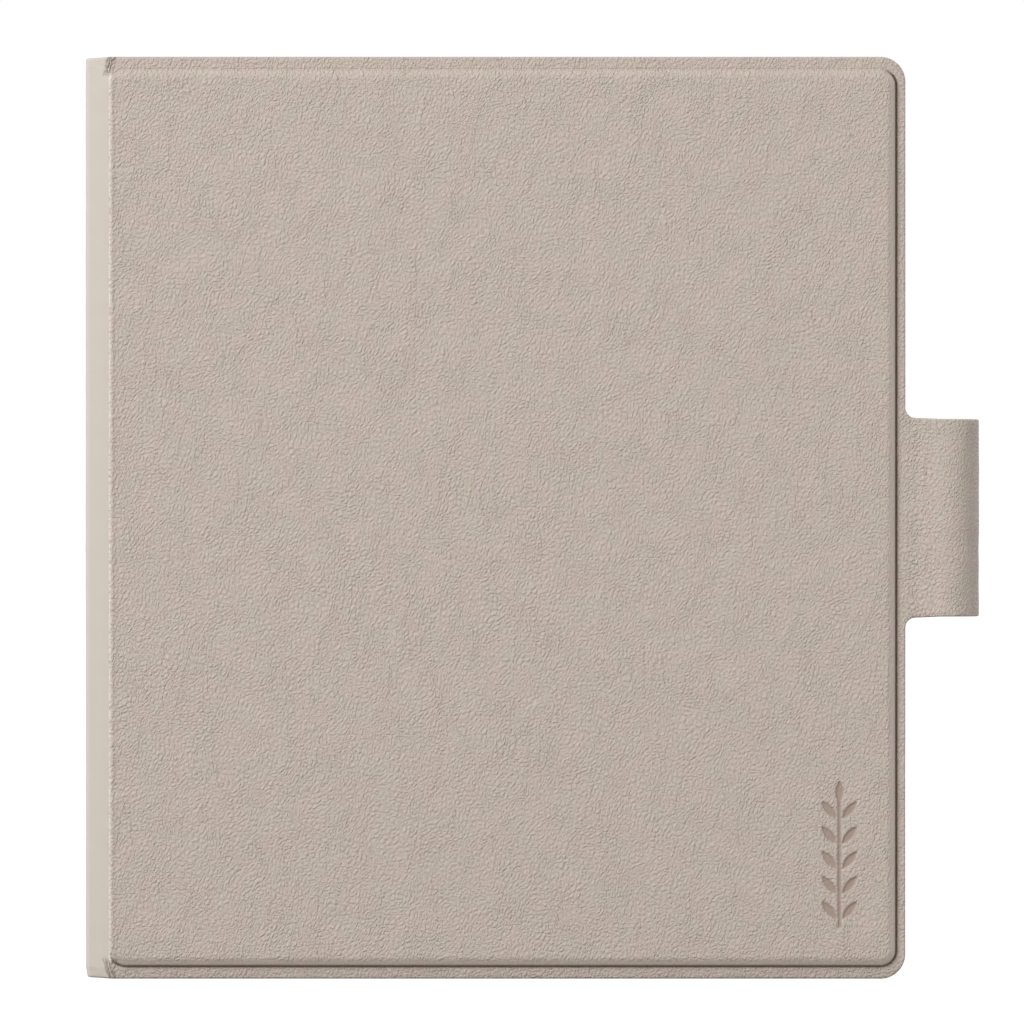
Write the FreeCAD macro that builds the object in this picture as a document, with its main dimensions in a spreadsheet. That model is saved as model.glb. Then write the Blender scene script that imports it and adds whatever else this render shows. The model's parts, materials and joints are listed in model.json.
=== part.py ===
import FreeCAD, Part

import math
import os
import re

import Sketcher
from FreeCAD import Rotation, Vector

# A 7-inch e-reader inside its folding leather cover, closed and standing upright.
#
# Millimetres. X runs to the right, Z up, and the front cover faces -Y. The origin is the centre
# of the back cover's outer face. "Depth" is the distance in front of that face, so y = -depth.
# The pieces are stacked in depth: back cover, reader, a small air gap, front cover. The two
# covers are joined along the left edge by a stiff spine strip between two soft hinge webs.

doc = FreeCAD.newDocument("e_reader")
sheet = doc.addObject("Spreadsheet::Sheet", "dims")

# ---------------------------------------------------------------- driving dimensions

DIMENSIONS = {
    # cover: layers and outline
    "leather_thick": 0.8,
    "board_thick": 1.2,
    "lining_thick": 0.4,
    "panel_wide": 136.8,
    "panel_tall": 156.0,
    "panel_corner": 2.8,
    "panel_edge_round": 0.7,
    "hem_side": 1.6,
    "hem_end": 2.15,
    "hem_corner": 4.35,
    "lining_inset": 0.3,
    "cover_gap": 0.3,
    # spine strip and its two hinge webs
    "spine_reach": 4.0,
    "spine_tall": 159.6,
    "spine_strip_deep": 3.7,
    "stiffener_thick": 0.4,
    "stiffener_inset": 0.3,
    "web_gap": 0.05,
    # pen loop, and the tongue of the front cover that carries it
    "tongue_reach": 2.0,
    "tongue_tall": 34.7,
    "tongue_round": 1.8,
    "loop_bore_radius": 4.75,
    "loop_centre_out": 8.75,
    # magnets
    "magnet_wide": 4.0,
    "magnet_tall": 20.0,
    "magnet_thick": 1.0,
    "magnet_out": 64.6,
    "magnet_up": 40.0,
    "closure_magnet_tall": 14.0,
    "closure_magnet_up": 50.0,
    "magnet_clearance": 0.1,
    "wake_magnet_radius": 2.5,
    "wake_magnet_right": 30.0,
    "wake_magnet_up": -71.5,
    # reader: shells
    "reader_wide": 137.0,
    "reader_tall": 156.0,
    "reader_deep": 6.4,
    "reader_corner": 7.0,
    "reader_edge_round": 0.6,
    "shell_wall": 1.1,
    "shell_floor": 1.0,
    "bezel_thick": 1.2,
    "skirt_thick": 0.8,
    "skirt_deep": 0.7,
    "skirt_clearance": 0.1,
    "frame_drop": 1.6,
    "frame_thick": 0.6,
    "frame_clearance": 0.5,
    # reader: screen stack, centred left of the middle to leave a grip at the right
    "screen_right": -10.0,
    "window_wide": 111.2,
    "window_tall": 146.8,
    "window_corner": 1.0,
    "lens_clearance": 0.1,
    "touch_thick": 0.3,
    "guide_thick": 0.5,
    "panel_glass_thick": 0.7,
    "glass_overlap": 0.7,
    "screen_tape_thick": 0.1,
    "screen_tape_border": 6.0,
    "screen_inset": 0.4,
    "led_wide": 3.0,
    "led_tall": 1.0,
    "led_deep": 0.4,
    "led_pitch": 6.0,
    "led_strip_thick": 0.1,
    "led_relief_tall": 2.2,
    "led_relief_deep": 0.4,
    # page keys in the grip
    "key_right": 56.5,
    "key_up": 18.5,
    "key_wide": 5.5,
    "key_tall": 34.0,
    "key_round": 2.0,
    "key_top_round": 0.35,
    "key_proud": 0.15,
    "key_clearance": 0.12,
    "key_lip": 0.8,
    "key_lip_thick": 0.6,
    "key_lip_gap": 0.1,
    "key_board_wide": 14.0,
    "key_board_tall": 100.0,
    "key_board_right": 57.5,
    "key_board_thick": 0.6,
    "key_post_right": 62.5,
    "key_post_up": 24.0,
    "key_post_radius": 1.6,
    "dome_radius": 2.0,
    "dome_deep": 0.45,
    # power key in the top edge
    "power_right": 55.0,
    "power_wide": 10.0,
    "power_deep": 2.4,
    "power_round": 1.1,
    "power_proud": 0.25,
    "power_flange": 1.2,
    "power_flange_thick": 0.8,
    "power_flange_gap": 0.2,
    "power_travel_gap": 0.4,
    "power_switch_wide": 4.0,
    "power_switch_tall": 2.0,
    # openings in the edges of the rear shell
    "usb_wide": 8.94,
    "usb_deep": 3.16,
    "usb_long": 7.3,
    "usb_setback": 0.4,
    "usb_clearance": 0.1,
    "usb_metal": 0.3,
    "usb_round": 1.5,
    "usb_tongue_wide": 6.6,
    "usb_tongue_deep": 0.7,
    "usb_tongue_setback": 0.8,
    "card_slot_tall": 11.4,
    "card_slot_deep": 0.9,
    "card_slot_round": 0.4,
    "wall_overrun": 0.6,
    "grille_radius": 0.5,
    "grille_pitch": 3.0,
    "mic_hole_radius": 0.4,
    # screws and the bosses they go into
    "boss_radius": 2.0,
    "board_boss_tall": 0.6,
    "screw_radius": 0.7,
    "screw_head_radius": 1.2,
    "screw_head_thick": 0.4,
    "screw_clearance": 0.05,
    "screw_bite": 1.2,
    "screw_tip_gap": 0.2,
    # flat cables
    "flex_thick": 0.15,
    "wire_radius": 0.4,
    "wire_pitch": 1.2,
    "wire_long": 9.0,
    "cable_slack": 1.0,
    "cable_slot_wide": 0.6,
    "shield_sheet": 0.15,
    "shield_round": 0.5,
    "glue_thick": 0.05,
}

# Plain rectangular pieces inside the reader: middle across, middle up, width, height, thickness.
COMPONENTS = {
    "battery": (-12.0, 16.0, 84.0, 88.0, 2.4),
    "battery_tape": (-12.0, 16.0, 60.0, 70.0, 0.1),
    "antenna_flex": (-38.0, 71.0, 44.0, 6.0, 0.15),
    "speaker": (-51.0, -72.0, 18.0, 9.0, 2.35),
    "speaker_mesh": (-51.0, -76.75, 16.0, 0.2, 2.0),
    "mainboard": (12.5, -55.0, 97.0, 38.0, 0.8),
    "main_chip": (-6.0, -53.0, 13.0, 13.0, 0.8),
    "power_chip": (30.0, -46.0, 6.0, 6.0, 0.8),
    "chip_shield": (2.0, -53.0, 38.0, 24.0, 1.1),
    "hall_sensor": (30.0, -71.5, 2.9, 1.6, 1.0),
    "microphone": (20.0, -72.0, 3.8, 3.0, 1.1),
    "microsd_socket": (59.6, -58.0, 15.4, 13.0, 1.2),
    "closure_plate": (64.3, 0.0, 4.0, 120.0, 0.35),
    "memory_chip_left": (7.5, -53.0, 7.5, 11.5, 0.8),
    "memory_chip_right": (16.0, -53.0, 7.5, 11.5, 0.8),
    "display_connector": (-19.0, -70.5, 20.0, 2.6, 0.4),
    "touch_connector": (40.0, -64.0, 2.6, 8.0, 0.4),
    "key_connector": (47.5, -45.0, 2.6, 6.0, 0.4),
    "battery_connector": (-8.0, -38.5, 6.0, 3.0, 0.4),
}

# Middles of the screws, as (across, up).
FRAME_SCREWS = [(-63.5, 62.0), (-63.5, 6.0), (-63.5, -59.0), (38.0, 70.0), (38.0, 6.0)]
BOARD_SCREWS = [(-32.5, -39.5), (-32.5, -70.5), (57.0, -39.5), (57.0, -70.5)]
KEY_BOARD_SCREWS = 3
GRILLE_HOLES = 5
LED_COUNT = 18


def fill_sheet():
    """One row per dimension: its name, and its value under an alias of the same name."""
    rows = dict(DIMENSIONS)
    for name, (across, up, wide, tall, deep) in COMPONENTS.items():
        rows[f"{name}_across"] = across
        rows[f"{name}_up"] = up
        rows[f"{name}_wide"] = wide
        rows[f"{name}_tall"] = tall
        rows[f"{name}_deep"] = deep
    for row, (name, size) in enumerate(rows.items(), start=1):
        sheet.set(f"A{row}", name)
        sheet.set(f"B{row}", str(size))
        sheet.setAlias(f"B{row}", name)
    doc.recompute()


fill_sheet()

# Depths of the stack, from the back face forward, as expressions of the sheet's cells.
BACK_INNER = "(leather_thick + board_thick)"
READER_BACK = f"({BACK_INNER} + lining_thick)"
READER_FRONT = f"({READER_BACK} + reader_deep)"
FRONT_LINING = f"({READER_FRONT} + cover_gap)"
FRONT_INNER = f"({FRONT_LINING} + lining_thick)"
COVER_FRONT = f"({FRONT_INNER} + board_thick + leather_thick)"
MIDDLE = f"({COVER_FRONT} / 2)"
FLOOR = f"({READER_BACK} + shell_floor)"
SEAM = f"({READER_FRONT} - bezel_thick)"
FRAME_BACK = f"({SEAM} - frame_drop)"
FRAME_FRONT = f"({FRAME_BACK} + frame_thick)"
GLASS_BACK = f"({FRAME_FRONT} + screen_tape_thick)"
GUIDE_BACK = f"({GLASS_BACK} + panel_glass_thick)"
TOUCH_BACK = f"({GUIDE_BACK} + guide_thick)"
LENS_BACK = f"({TOUCH_BACK} + touch_thick)"
BOARD_BACK = f"({FLOOR} + board_boss_tall)"
BOARD_FRONT = f"({BOARD_BACK} + mainboard_deep)"
CONNECTOR_TOP = f"({BOARD_FRONT} + display_connector_deep)"
KEY_BOARD_BACK = f"({FRAME_BACK} - key_board_thick)"

# Outlines, measured from the middle.
PANEL_RIGHT = "(panel_wide / 2)"
PANEL_TOP = "(panel_tall / 2)"
HEM_RIGHT = f"({PANEL_RIGHT} + hem_side)"
HEM_TOP = f"({PANEL_TOP} + hem_end)"
SPINE_LEFT = f"(-{PANEL_RIGHT} - spine_reach)"
READER_RIGHT = "(reader_wide / 2)"
READER_TOP = "(reader_tall / 2)"
WINDOW_LEFT = "(screen_right - window_wide / 2)"
WINDOW_RIGHT = "(screen_right + window_wide / 2)"
WINDOW_TOP = "(window_tall / 2)"
SCREEN_RIGHT = f"({WINDOW_RIGHT} - screen_inset)"
GLASS_LOW = f"(-{WINDOW_TOP} - glass_overlap)"


# ---------------------------------------------------------------- helpers


def cells(text):
    """Turns the bare names of an expression into references to the sheet."""
    return re.sub(r"[a-z]\w*", r"dims.\g<0>", str(text))


def value(text):
    return float(sheet.evalExpression(cells(text)))


def bind(thing, what, text):
    thing.setExpression(what, cells(text))


def new_body(label):
    body = doc.addObject("PartDesign::Body", label)
    body.Label = label
    return body


def sketch_on(body, role, offset):
    """A sketch on one of the body's own origin planes, moved out along the plane's normal."""
    plane = [item for item in body.Origin.OriginFeatures if item.Role == role][0]
    sketch = body.newObject("Sketcher::SketchObject", f"{body.Label}_sketch")
    sketch.AttachmentSupport = [(plane, "")]
    sketch.MapMode = "FlatFace"
    bind(sketch, "AttachmentOffset.Base.z", offset)
    return sketch


def pin_coordinate(sketch, kind, edge, text, name):
    """Holds the start of an edge at a distance from the sketch's origin."""
    place = value(text)
    index = sketch.addConstraint(Sketcher.Constraint(kind, -1, 1, edge, 1, place))
    sketch.renameConstraint(index, name)
    bind(sketch, f"Constraints.{name}", text)


def add_arc(sketch, corner, before, after, radius):
    """A quarter round between two edges; returns it and the ends that meet each edge."""
    centre = corner + (after - before) * radius
    start = corner - before * radius - centre
    end = corner + after * radius - centre
    turns_left = before.x * after.y - before.y * after.x > 0
    first, last = (start, end) if turns_left else (end, start)
    first_angle = math.atan2(first.y, first.x)
    last_angle = math.atan2(last.y, last.x)
    circle = Part.Circle(centre, Vector(0, 0, 1), radius)
    arc = sketch.addGeometry(Part.ArcOfCircle(circle, first_angle, last_angle), False)
    return arc, (1 if turns_left else 2), (2 if turns_left else 1)


def outline(sketch, corners, prefix="edge"):
    """A closed outline of level and upright edges; a corner is (across, up, radius or None)."""
    count = len(corners)
    places = [Vector(value(across), value(up), 0) for across, up, _ in corners]
    radii = [value(radius) if radius else 0.0 for _, _, radius in corners]
    ways = [(places[(i + 1) % count] - places[i]).normalize() for i in range(count)]
    edges = []
    for i in range(count):
        start = places[i] + ways[i] * radii[i]
        end = places[(i + 1) % count] - ways[i] * radii[(i + 1) % count]
        edges.append(sketch.addGeometry(Part.LineSegment(start, end), False))
    for i in range(count):
        before, here = edges[i - 1], edges[i]
        if not radii[i]:
            sketch.addConstraint(Sketcher.Constraint("Coincident", before, 2, here, 1))
            continue
        arc, near, far = add_arc(sketch, places[i], ways[i - 1], ways[i], radii[i])
        sketch.addConstraint(Sketcher.Constraint("Tangent", before, 2, arc, near))
        sketch.addConstraint(Sketcher.Constraint("Tangent", arc, far, here, 1))
        index = sketch.addConstraint(Sketcher.Constraint("Radius", arc, radii[i]))
        sketch.renameConstraint(index, f"{prefix}_round_{i}")
        bind(sketch, f"Constraints.{prefix}_round_{i}", corners[i][2])
    for i in range(count):
        level = abs(ways[i].x) > abs(ways[i].y)
        sketch.addConstraint(Sketcher.Constraint("Horizontal" if level else "Vertical", edges[i]))
        kind, text = ("DistanceY", corners[i][1]) if level else ("DistanceX", corners[i][0])
        pin_coordinate(sketch, kind, edges[i], text, f"{prefix}_{i}")


def polygon(sketch, points):
    """A closed outline of straight edges through (across, up) points."""
    places = [Vector(value(across), value(up), 0) for across, up in points]
    count = len(points)
    edges = []
    for i in range(count):
        edges.append(sketch.addGeometry(Part.LineSegment(places[i], places[(i + 1) % count]), False))
    for i in range(count):
        sketch.addConstraint(Sketcher.Constraint("Coincident", edges[i - 1], 2, edges[i], 1))
        pin_coordinate(sketch, "DistanceX", edges[i], points[i][0], f"across_{i}")
        pin_coordinate(sketch, "DistanceY", edges[i], points[i][1], f"up_{i}")


def round_hole(sketch, across, up, radius, name="hole"):
    circle = Part.Circle(Vector(value(across), value(up), 0), Vector(0, 0, 1), value(radius))
    index = sketch.addGeometry(circle, False)
    for kind, text, part in (("DistanceX", across, "across"), ("DistanceY", up, "up")):
        held = sketch.addConstraint(Sketcher.Constraint(kind, -1, 1, index, 3, value(text)))
        sketch.renameConstraint(held, f"{name}_{part}")
        bind(sketch, f"Constraints.{name}_{part}", text)
    held = sketch.addConstraint(Sketcher.Constraint("Radius", index, value(radius)))
    sketch.renameConstraint(held, f"{name}_radius")
    bind(sketch, f"Constraints.{name}_radius", radius)


def rectangle(left, right, low, high, radius=None):
    return [(left, low, radius), (right, low, radius), (right, high, radius), (left, high, radius)]


def centred(across, up, wide, tall, radius=None):
    return rectangle(
        f"{across} - ({wide}) / 2", f"{across} + ({wide}) / 2",
        f"{up} - ({tall}) / 2", f"{up} + ({tall}) / 2", radius,
    )


def pad(body, sketch, length, backward=False, both_ways=False):
    feature = body.newObject("PartDesign::Pad", f"{body.Label}_pad")
    feature.Profile = sketch
    feature.Reversed = backward
    if both_ways:
        feature.SideType = "Symmetric"
    bind(feature, "Length", length)
    doc.recompute()
    return feature


def pocket(body, sketch, length, along_normal=False):
    """Cuts against the sketch's normal, or along it; stops if nothing was cut."""
    doc.recompute()
    before = body.Shape.Volume
    feature = body.newObject("PartDesign::Pocket", f"{body.Label}_pocket")
    feature.Profile = sketch
    feature.Reversed = along_normal
    bind(feature, "Length", length)
    doc.recompute()
    if not body.Shape.Volume < before:
        raise RuntimeError(f"a pocket of {body.Label} cut nothing")
    return feature


def plate(label, corners, back, front):
    """A flat body between two depths, from an outline seen from the front."""
    body = new_body(label)
    sketch = sketch_on(body, "XZ_Plane", back)
    outline(sketch, corners)
    pad(body, sketch, f"{front} - {back}")
    return body


def window(body, corners, back, front):
    """Cuts an outline out of a body between two depths."""
    sketch = sketch_on(body, "XZ_Plane", front)
    outline(sketch, corners)
    pocket(body, sketch, f"{front} - {back}")


def strip(label, points, tall):
    """A body with one cross-section, drawn as (across, depth) points, running up and down."""
    body = new_body(label)
    sketch = sketch_on(body, "XY_Plane", "0")
    polygon(sketch, [(across, f"-({depth})") for across, depth in points])
    pad(body, sketch, tall, both_ways=True)
    return body


def edges_at_depth(body, depth):
    """Names of the edges that lie flat at one depth."""
    level = -value(depth)
    names = []
    for number, edge in enumerate(body.Shape.Edges, start=1):
        box = edge.BoundBox
        if abs(box.YMin - level) < 0.001 and abs(box.YMax - level) < 0.001:
            names.append(f"Edge{number}")
    return names


def round_edges(body, names, radius):
    feature = body.newObject("PartDesign::Fillet", f"{body.Label}_fillet")
    feature.Base = (body.Tip if body.Tip != feature else feature.BaseFeature, names)
    bind(feature, "Radius", radius)
    doc.recompute()
    return feature


def place(thing, left, front, low):
    """Puts the left, front, lowest corner of a box or the base of a cylinder."""
    bind(thing, "Placement.Base.x", left)
    bind(thing, "Placement.Base.y", f"-({front})")
    bind(thing, "Placement.Base.z", low)


def block(label, corners, back, front):
    """A plain box between two depths; corners as rectangle() or centred() give them."""
    box = doc.addObject("Part::Box", label)
    box.Label = label
    left, low = corners[0][0], corners[0][1]
    right, high = corners[2][0], corners[2][1]
    bind(box, "Length", f"({right}) - ({left})")
    bind(box, "Width", f"({front}) - ({back})")
    bind(box, "Height", f"({high}) - ({low})")
    place(box, left, front, low)
    return box


def component(name, back):
    """One of the plain rectangular pieces of COMPONENTS, standing on a depth."""
    corners = centred(f"{name}_across", f"{name}_up", f"{name}_wide", f"{name}_tall")
    return block(name, corners, back, f"{back} + {name}_deep")


def disc(label, across, up, radius, back, front):
    """A round piece whose axis runs from one depth to another."""
    cylinder = doc.addObject("Part::Cylinder", label)
    cylinder.Label = label
    bind(cylinder, "Radius", radius)
    bind(cylinder, "Height", f"({front}) - ({back})")
    cylinder.Placement = FreeCAD.Placement(Vector(0, 0, 0), Rotation(Vector(1, 0, 0), 90))
    place(cylinder, across, back, up)
    return cylinder


def fused(label, pieces):
    joined = doc.addObject("Part::MultiFuse", label)
    joined.Label = label
    joined.Shapes = pieces
    return joined


def cut(label, base, tool):
    result = doc.addObject("Part::Cut", label)
    result.Label = label
    result.Base = base
    result.Tool = tool
    return result


def group(label, pieces):
    """Separate solids of the same kind that share one name."""
    together = doc.addObject("Part::Compound", label)
    together.Label = label
    together.Links = pieces
    return together


# ---------------------------------------------------------------- the folding cover


def cover_outline(with_tongue):
    """The pressed hem around three sides of a cover; the fourth, left, side meets the spine."""
    left = f"-{PANEL_RIGHT}"
    corners = [(left, f"-{HEM_TOP}", None), (HEM_RIGHT, f"-{HEM_TOP}", "hem_corner")]
    if with_tongue:
        tongue = f"({HEM_RIGHT} + tongue_reach)"
        corners += [
            (HEM_RIGHT, "-tongue_tall / 2", "tongue_round"),
            (tongue, "-tongue_tall / 2", None),
            (tongue, "tongue_tall / 2", None),
            (HEM_RIGHT, "tongue_tall / 2", "tongue_round"),
        ]
    corners += [(HEM_RIGHT, HEM_TOP, "hem_corner"), (left, HEM_TOP, None)]
    return corners


def cover_skin(label, inner, outer, faces_front):
    """Leather pressed over the stiff board: a flat hem, and a raised panel hollow for the board."""
    body = new_body(label)
    hem = sketch_on(body, "XZ_Plane", inner)
    outline(hem, cover_outline(with_tongue=faces_front))
    pad(body, hem, "leather_thick", backward=not faces_front)
    raised = sketch_on(body, "XZ_Plane", inner)
    outline(raised, centred("0", "0", "panel_wide", "panel_tall", "panel_corner"))
    pad(body, raised, "board_thick + leather_thick", backward=not faces_front)
    round_edges(body, edges_at_depth(body, outer), "panel_edge_round")
    hollow = sketch_on(body, "XZ_Plane", inner)
    outline(hollow, board_outline())
    pocket(body, hollow, "board_thick", along_normal=faces_front)
    return body


def board_outline():
    return centred(
        "0", "0", "panel_wide - 2 * leather_thick", "panel_tall - 2 * leather_thick",
        "panel_corner - leather_thick",
    )


def magnet_corners(across, up, tall, clearance="0"):
    return centred(across, up, f"magnet_wide + 2 * {clearance}", f"{tall} + 2 * {clearance}")


def magnet_set(label, places, tall, middle):
    """Bar magnets of one kind, centred on a depth."""
    back, front = f"{middle} - magnet_thick / 2", f"{middle} + magnet_thick / 2"
    bars = []
    for number, (across, up) in enumerate(places, start=1):
        bars.append(block(f"{label}_{number}", magnet_corners(across, up, tall), back, front))
    return group(label, bars)


ATTACH_PLACES = [
    (f"{side}magnet_out", f"{end}magnet_up") for side in ("-", "") for end in ("-", "")
]
CLOSURE_PLACES = [("magnet_out", f"{end}closure_magnet_up") for end in ("-", "")]


def cover_board(label, back, magnets, magnet_tall):
    """Stiff board with a cut-out for each magnet that is let into it."""
    front = f"({back} + board_thick)"
    body = plate(label, board_outline(), back, front)
    for across, up in magnets:
        window(body, magnet_corners(across, up, magnet_tall, "magnet_clearance"), back, front)
    return body


def cover_lining(label, back):
    """Soft lining glued over the board and the inside of the hem."""
    left = f"-{PANEL_RIGHT}"
    right = f"({HEM_RIGHT} - lining_inset)"
    top = f"({HEM_TOP} - lining_inset)"
    corner = "hem_corner - lining_inset"
    corners = [(left, f"-{top}", None), (right, f"-{top}", corner), (right, top, corner), (left, top, None)]
    return plate(label, corners, back, f"{back} + lining_thick")


def back_cover():
    board_middle = "(leather_thick + board_thick / 2)"
    return [
        cover_skin("back_cover_skin", BACK_INNER, "0", faces_front=False),
        cover_board("back_cover_board", "leather_thick", ATTACH_PLACES, "magnet_tall"),
        magnet_set("back_cover_magnets", ATTACH_PLACES, "magnet_tall", board_middle),
        cover_lining("back_cover_lining", BACK_INNER),
    ]


def front_cover():
    board = cover_board("front_cover_board", FRONT_INNER, CLOSURE_PLACES, "closure_magnet_tall")
    seat = sketch_on(board, "XZ_Plane", f"{FRONT_INNER} + board_thick")
    round_hole(seat, "wake_magnet_right", "wake_magnet_up", "wake_magnet_radius + magnet_clearance")
    pocket(board, seat, "board_thick")
    middle = f"({FRONT_INNER} + board_thick / 2)"
    wake = disc(
        "front_wake_magnet", "wake_magnet_right", "wake_magnet_up", "wake_magnet_radius",
        f"{middle} - magnet_thick / 2", f"{middle} + magnet_thick / 2",
    )
    return [
        cover_skin("front_cover_skin", FRONT_INNER, COVER_FRONT, faces_front=True),
        board,
        magnet_set("front_closure_magnets", CLOSURE_PLACES, "closure_magnet_tall", middle),
        wake,
        cover_lining("front_cover_lining", FRONT_LINING),
    ]


def spine():
    """Skin, stiffener and lining of the strip that stands at the left edge."""
    low = f"({MIDDLE} - spine_strip_deep / 2)"
    high = f"({MIDDLE} + spine_strip_deep / 2)"
    layers = [
        ("spine_skin", SPINE_LEFT, "leather_thick", "0"),
        ("spine_stiffener", f"({SPINE_LEFT} + leather_thick)", "stiffener_thick", "stiffener_inset"),
        ("spine_lining", f"({SPINE_LEFT} + leather_thick + stiffener_thick)", "lining_thick", "0"),
    ]
    made = []
    for label, left, thick, inset in layers:
        top = f"(spine_tall / 2 - {inset})"
        corners = rectangle(left, f"{left} + {thick}", f"-{top}", top)
        made.append(block(label, corners, f"{low} + {inset}", f"{high} - {inset}"))
    return made


def hinge_web(side, layer):
    """One soft web from the edge of a cover to the spine strip; both covers' webs mirror each other."""
    front = side == "front"
    at_spine = f"({MIDDLE} + spine_strip_deep / 2 + web_gap)"
    at_cover = FRONT_INNER
    root = f"(-{PANEL_RIGHT} - web_gap)"
    if layer == "skin":
        outer, thick = SPINE_LEFT, "leather_thick"
        high = f"({at_cover} + leather_thick)"
        low = at_cover
    else:
        outer, thick = f"({SPINE_LEFT} + leather_thick + stiffener_thick)", "lining_thick"
        high = at_cover
        low = f"({at_cover} - lining_thick)"
    section = [(root, high), (outer, at_spine), (f"{outer} + {thick}", at_spine), (root, low)]
    if not front:
        section = [(across, f"{COVER_FRONT} - {depth}") for across, depth in section]
    return strip(f"{side}_hinge_{layer}", section, "spine_tall")


def hinge_webs():
    return [hinge_web(side, layer) for side in ("front", "back") for layer in ("skin", "lining")]


def pen_loop():
    """A leather band bent round a pen: a round tube that leaves the tongue along two tangents."""
    body = new_body("pen_loop")
    sketch = sketch_on(body, "XY_Plane", "0")
    centre = Vector(value(f"{PANEL_RIGHT} + loop_centre_out"), -value(MIDDLE), 0)
    bore = value("loop_bore_radius")
    outer = value("loop_bore_radius + leather_thick")
    tongue_end = value(f"{HEM_RIGHT} + tongue_reach")
    top = -value(f"{FRONT_INNER} + leather_thick")
    under = -value(FRONT_INNER)

    # The top face of the band starts at the tongue's edge and touches the tube's outside here.
    reach = Vector(tongue_end, top, 0) - centre
    spread = math.acos(outer / reach.Length)
    touch = math.atan2(reach.y, reach.x) + spread
    toward = Vector(math.cos(touch), math.sin(touch), 0)
    slope = Vector(-toward.y, toward.x, 0)

    def arc(radius):
        circle = Part.Circle(centre, Vector(0, 0, 1), radius)
        return sketch.addGeometry(Part.ArcOfCircle(circle, touch, math.pi), False)

    def line(start, end):
        return sketch.addGeometry(Part.LineSegment(start, end), False)

    lip = Vector(tongue_end, top, 0)
    step = Vector(tongue_end, under, 0)
    inner_left = Vector(centre.x - outer, under, 0)
    outside = [
        line(centre + toward * outer, lip),
        line(lip, step),
        line(step, inner_left),
        line(inner_left, Vector(centre.x - outer, centre.y, 0)),
        arc(outer),
    ]
    inner_corner = centre + toward * bore
    run = (centre.x - bore - inner_corner.x) / slope.x
    bend = inner_corner + slope * run
    inside = [
        line(inner_corner, bend),
        line(bend, Vector(centre.x - bore, centre.y, 0)),
        arc(bore),
    ]
    constrain = [
        ("Coincident", outside[0], 2, outside[1], 1),
        ("Coincident", outside[1], 2, outside[2], 1),
        ("Coincident", outside[2], 2, outside[3], 1),
        ("Tangent", outside[3], 2, outside[4], 2),
        ("Tangent", outside[0], 1, outside[4], 1),
        ("Vertical", outside[1]),
        ("Horizontal", outside[2]),
        ("Vertical", outside[3]),
        ("Coincident", inside[0], 2, inside[1], 1),
        ("Tangent", inside[1], 2, inside[2], 2),
        ("Tangent", inside[0], 1, inside[2], 1),
        ("Vertical", inside[1]),
        ("Coincident", outside[4], 3, inside[2], 3),
        ("Parallel", outside[0], inside[0]),
    ]
    for item in constrain:
        sketch.addConstraint(Sketcher.Constraint(*item))
    pin_coordinate(sketch, "DistanceX", outside[1], f"{HEM_RIGHT} + tongue_reach", "tongue_end")
    pin_coordinate(sketch, "DistanceY", outside[1], f"-({FRONT_INNER} + leather_thick)", "band_top")
    pin_coordinate(sketch, "DistanceY", outside[2], f"-{FRONT_INNER}", "band_under")
    held = [
        ("centre_across", ("DistanceX", -1, 1, outside[4], 3), f"{PANEL_RIGHT} + loop_centre_out"),
        ("centre_depth", ("DistanceY", -1, 1, outside[4], 3), f"-{MIDDLE}"),
        ("outer_radius", ("Radius", outside[4]), "loop_bore_radius + leather_thick"),
        ("bore_radius", ("Radius", inside[2]), "loop_bore_radius"),
    ]
    for name, parts, text in held:
        index = sketch.addConstraint(Sketcher.Constraint(*parts, value(text)))
        sketch.renameConstraint(index, name)
        bind(sketch, f"Constraints.{name}", text)
    pad(body, sketch, "tongue_tall", both_ways=True)
    return body


# ---------------------------------------------------------------- reader: shells


def reader_outline(inset):
    """The reader's rounded outline, drawn in from its edge by an inset."""
    wide, tall = f"(reader_wide - 2 * ({inset}))", f"(reader_tall - 2 * ({inset}))"
    return centred("0", "0", wide, tall, f"reader_corner - ({inset})")


def bosses(body, places, radius, front):
    """Short round posts rising from the rear shell's floor."""
    for across, up in places:
        sketch = sketch_on(body, "XZ_Plane", FLOOR)
        round_hole(sketch, across, up, radius)
        pad(body, sketch, f"{front} - {FLOOR}")


def drill(body, places, radius, front, deep):
    for across, up in places:
        sketch = sketch_on(body, "XZ_Plane", front)
        round_hole(sketch, across, up, radius)
        pocket(body, sketch, deep)


def key_post_places():
    first = -(KEY_BOARD_SCREWS - 1) / 2
    return [("key_post_right", f"{first + number} * key_post_up") for number in range(KEY_BOARD_SCREWS)]


def usb_middle():
    return f"({FLOOR} + usb_clearance / 4 + usb_deep / 2)"


def rear_shell():
    """The back tray of the reader, with its bosses and the openings in its edges."""
    body = plate("rear_shell", reader_outline("0"), READER_BACK, SEAM)
    round_edges(body, edges_at_depth(body, READER_BACK), "reader_edge_round")
    window(body, reader_outline("shell_wall"), FLOOR, SEAM)
    bosses(body, BOARD_SCREWS, "boss_radius", BOARD_BACK)
    bosses(body, FRAME_SCREWS, "boss_radius", FRAME_BACK)
    bosses(body, key_post_places(), "key_post_radius", KEY_BOARD_BACK)
    hole = "screw_radius + screw_clearance"
    drill(body, BOARD_SCREWS, hole, BOARD_BACK, "screw_bite")
    drill(body, FRAME_SCREWS, hole, FRAME_BACK, "screw_bite + board_boss_tall")
    drill(body, key_post_places(), hole, KEY_BOARD_BACK, "screw_bite + board_boss_tall")
    for cut_edge in (usb_opening, grille, microphone_hole, card_slot, power_opening):
        cut_edge(body)
    return body


def bottom_cut(body, draw):
    """Cuts through the bottom edge; draw() adds the shape, seen from below, to the sketch."""
    sketch = sketch_on(body, "XY_Plane", f"-{READER_TOP} - wall_overrun")
    draw(sketch)
    pocket(body, sketch, "shell_wall + 2 * wall_overrun", along_normal=True)


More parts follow.
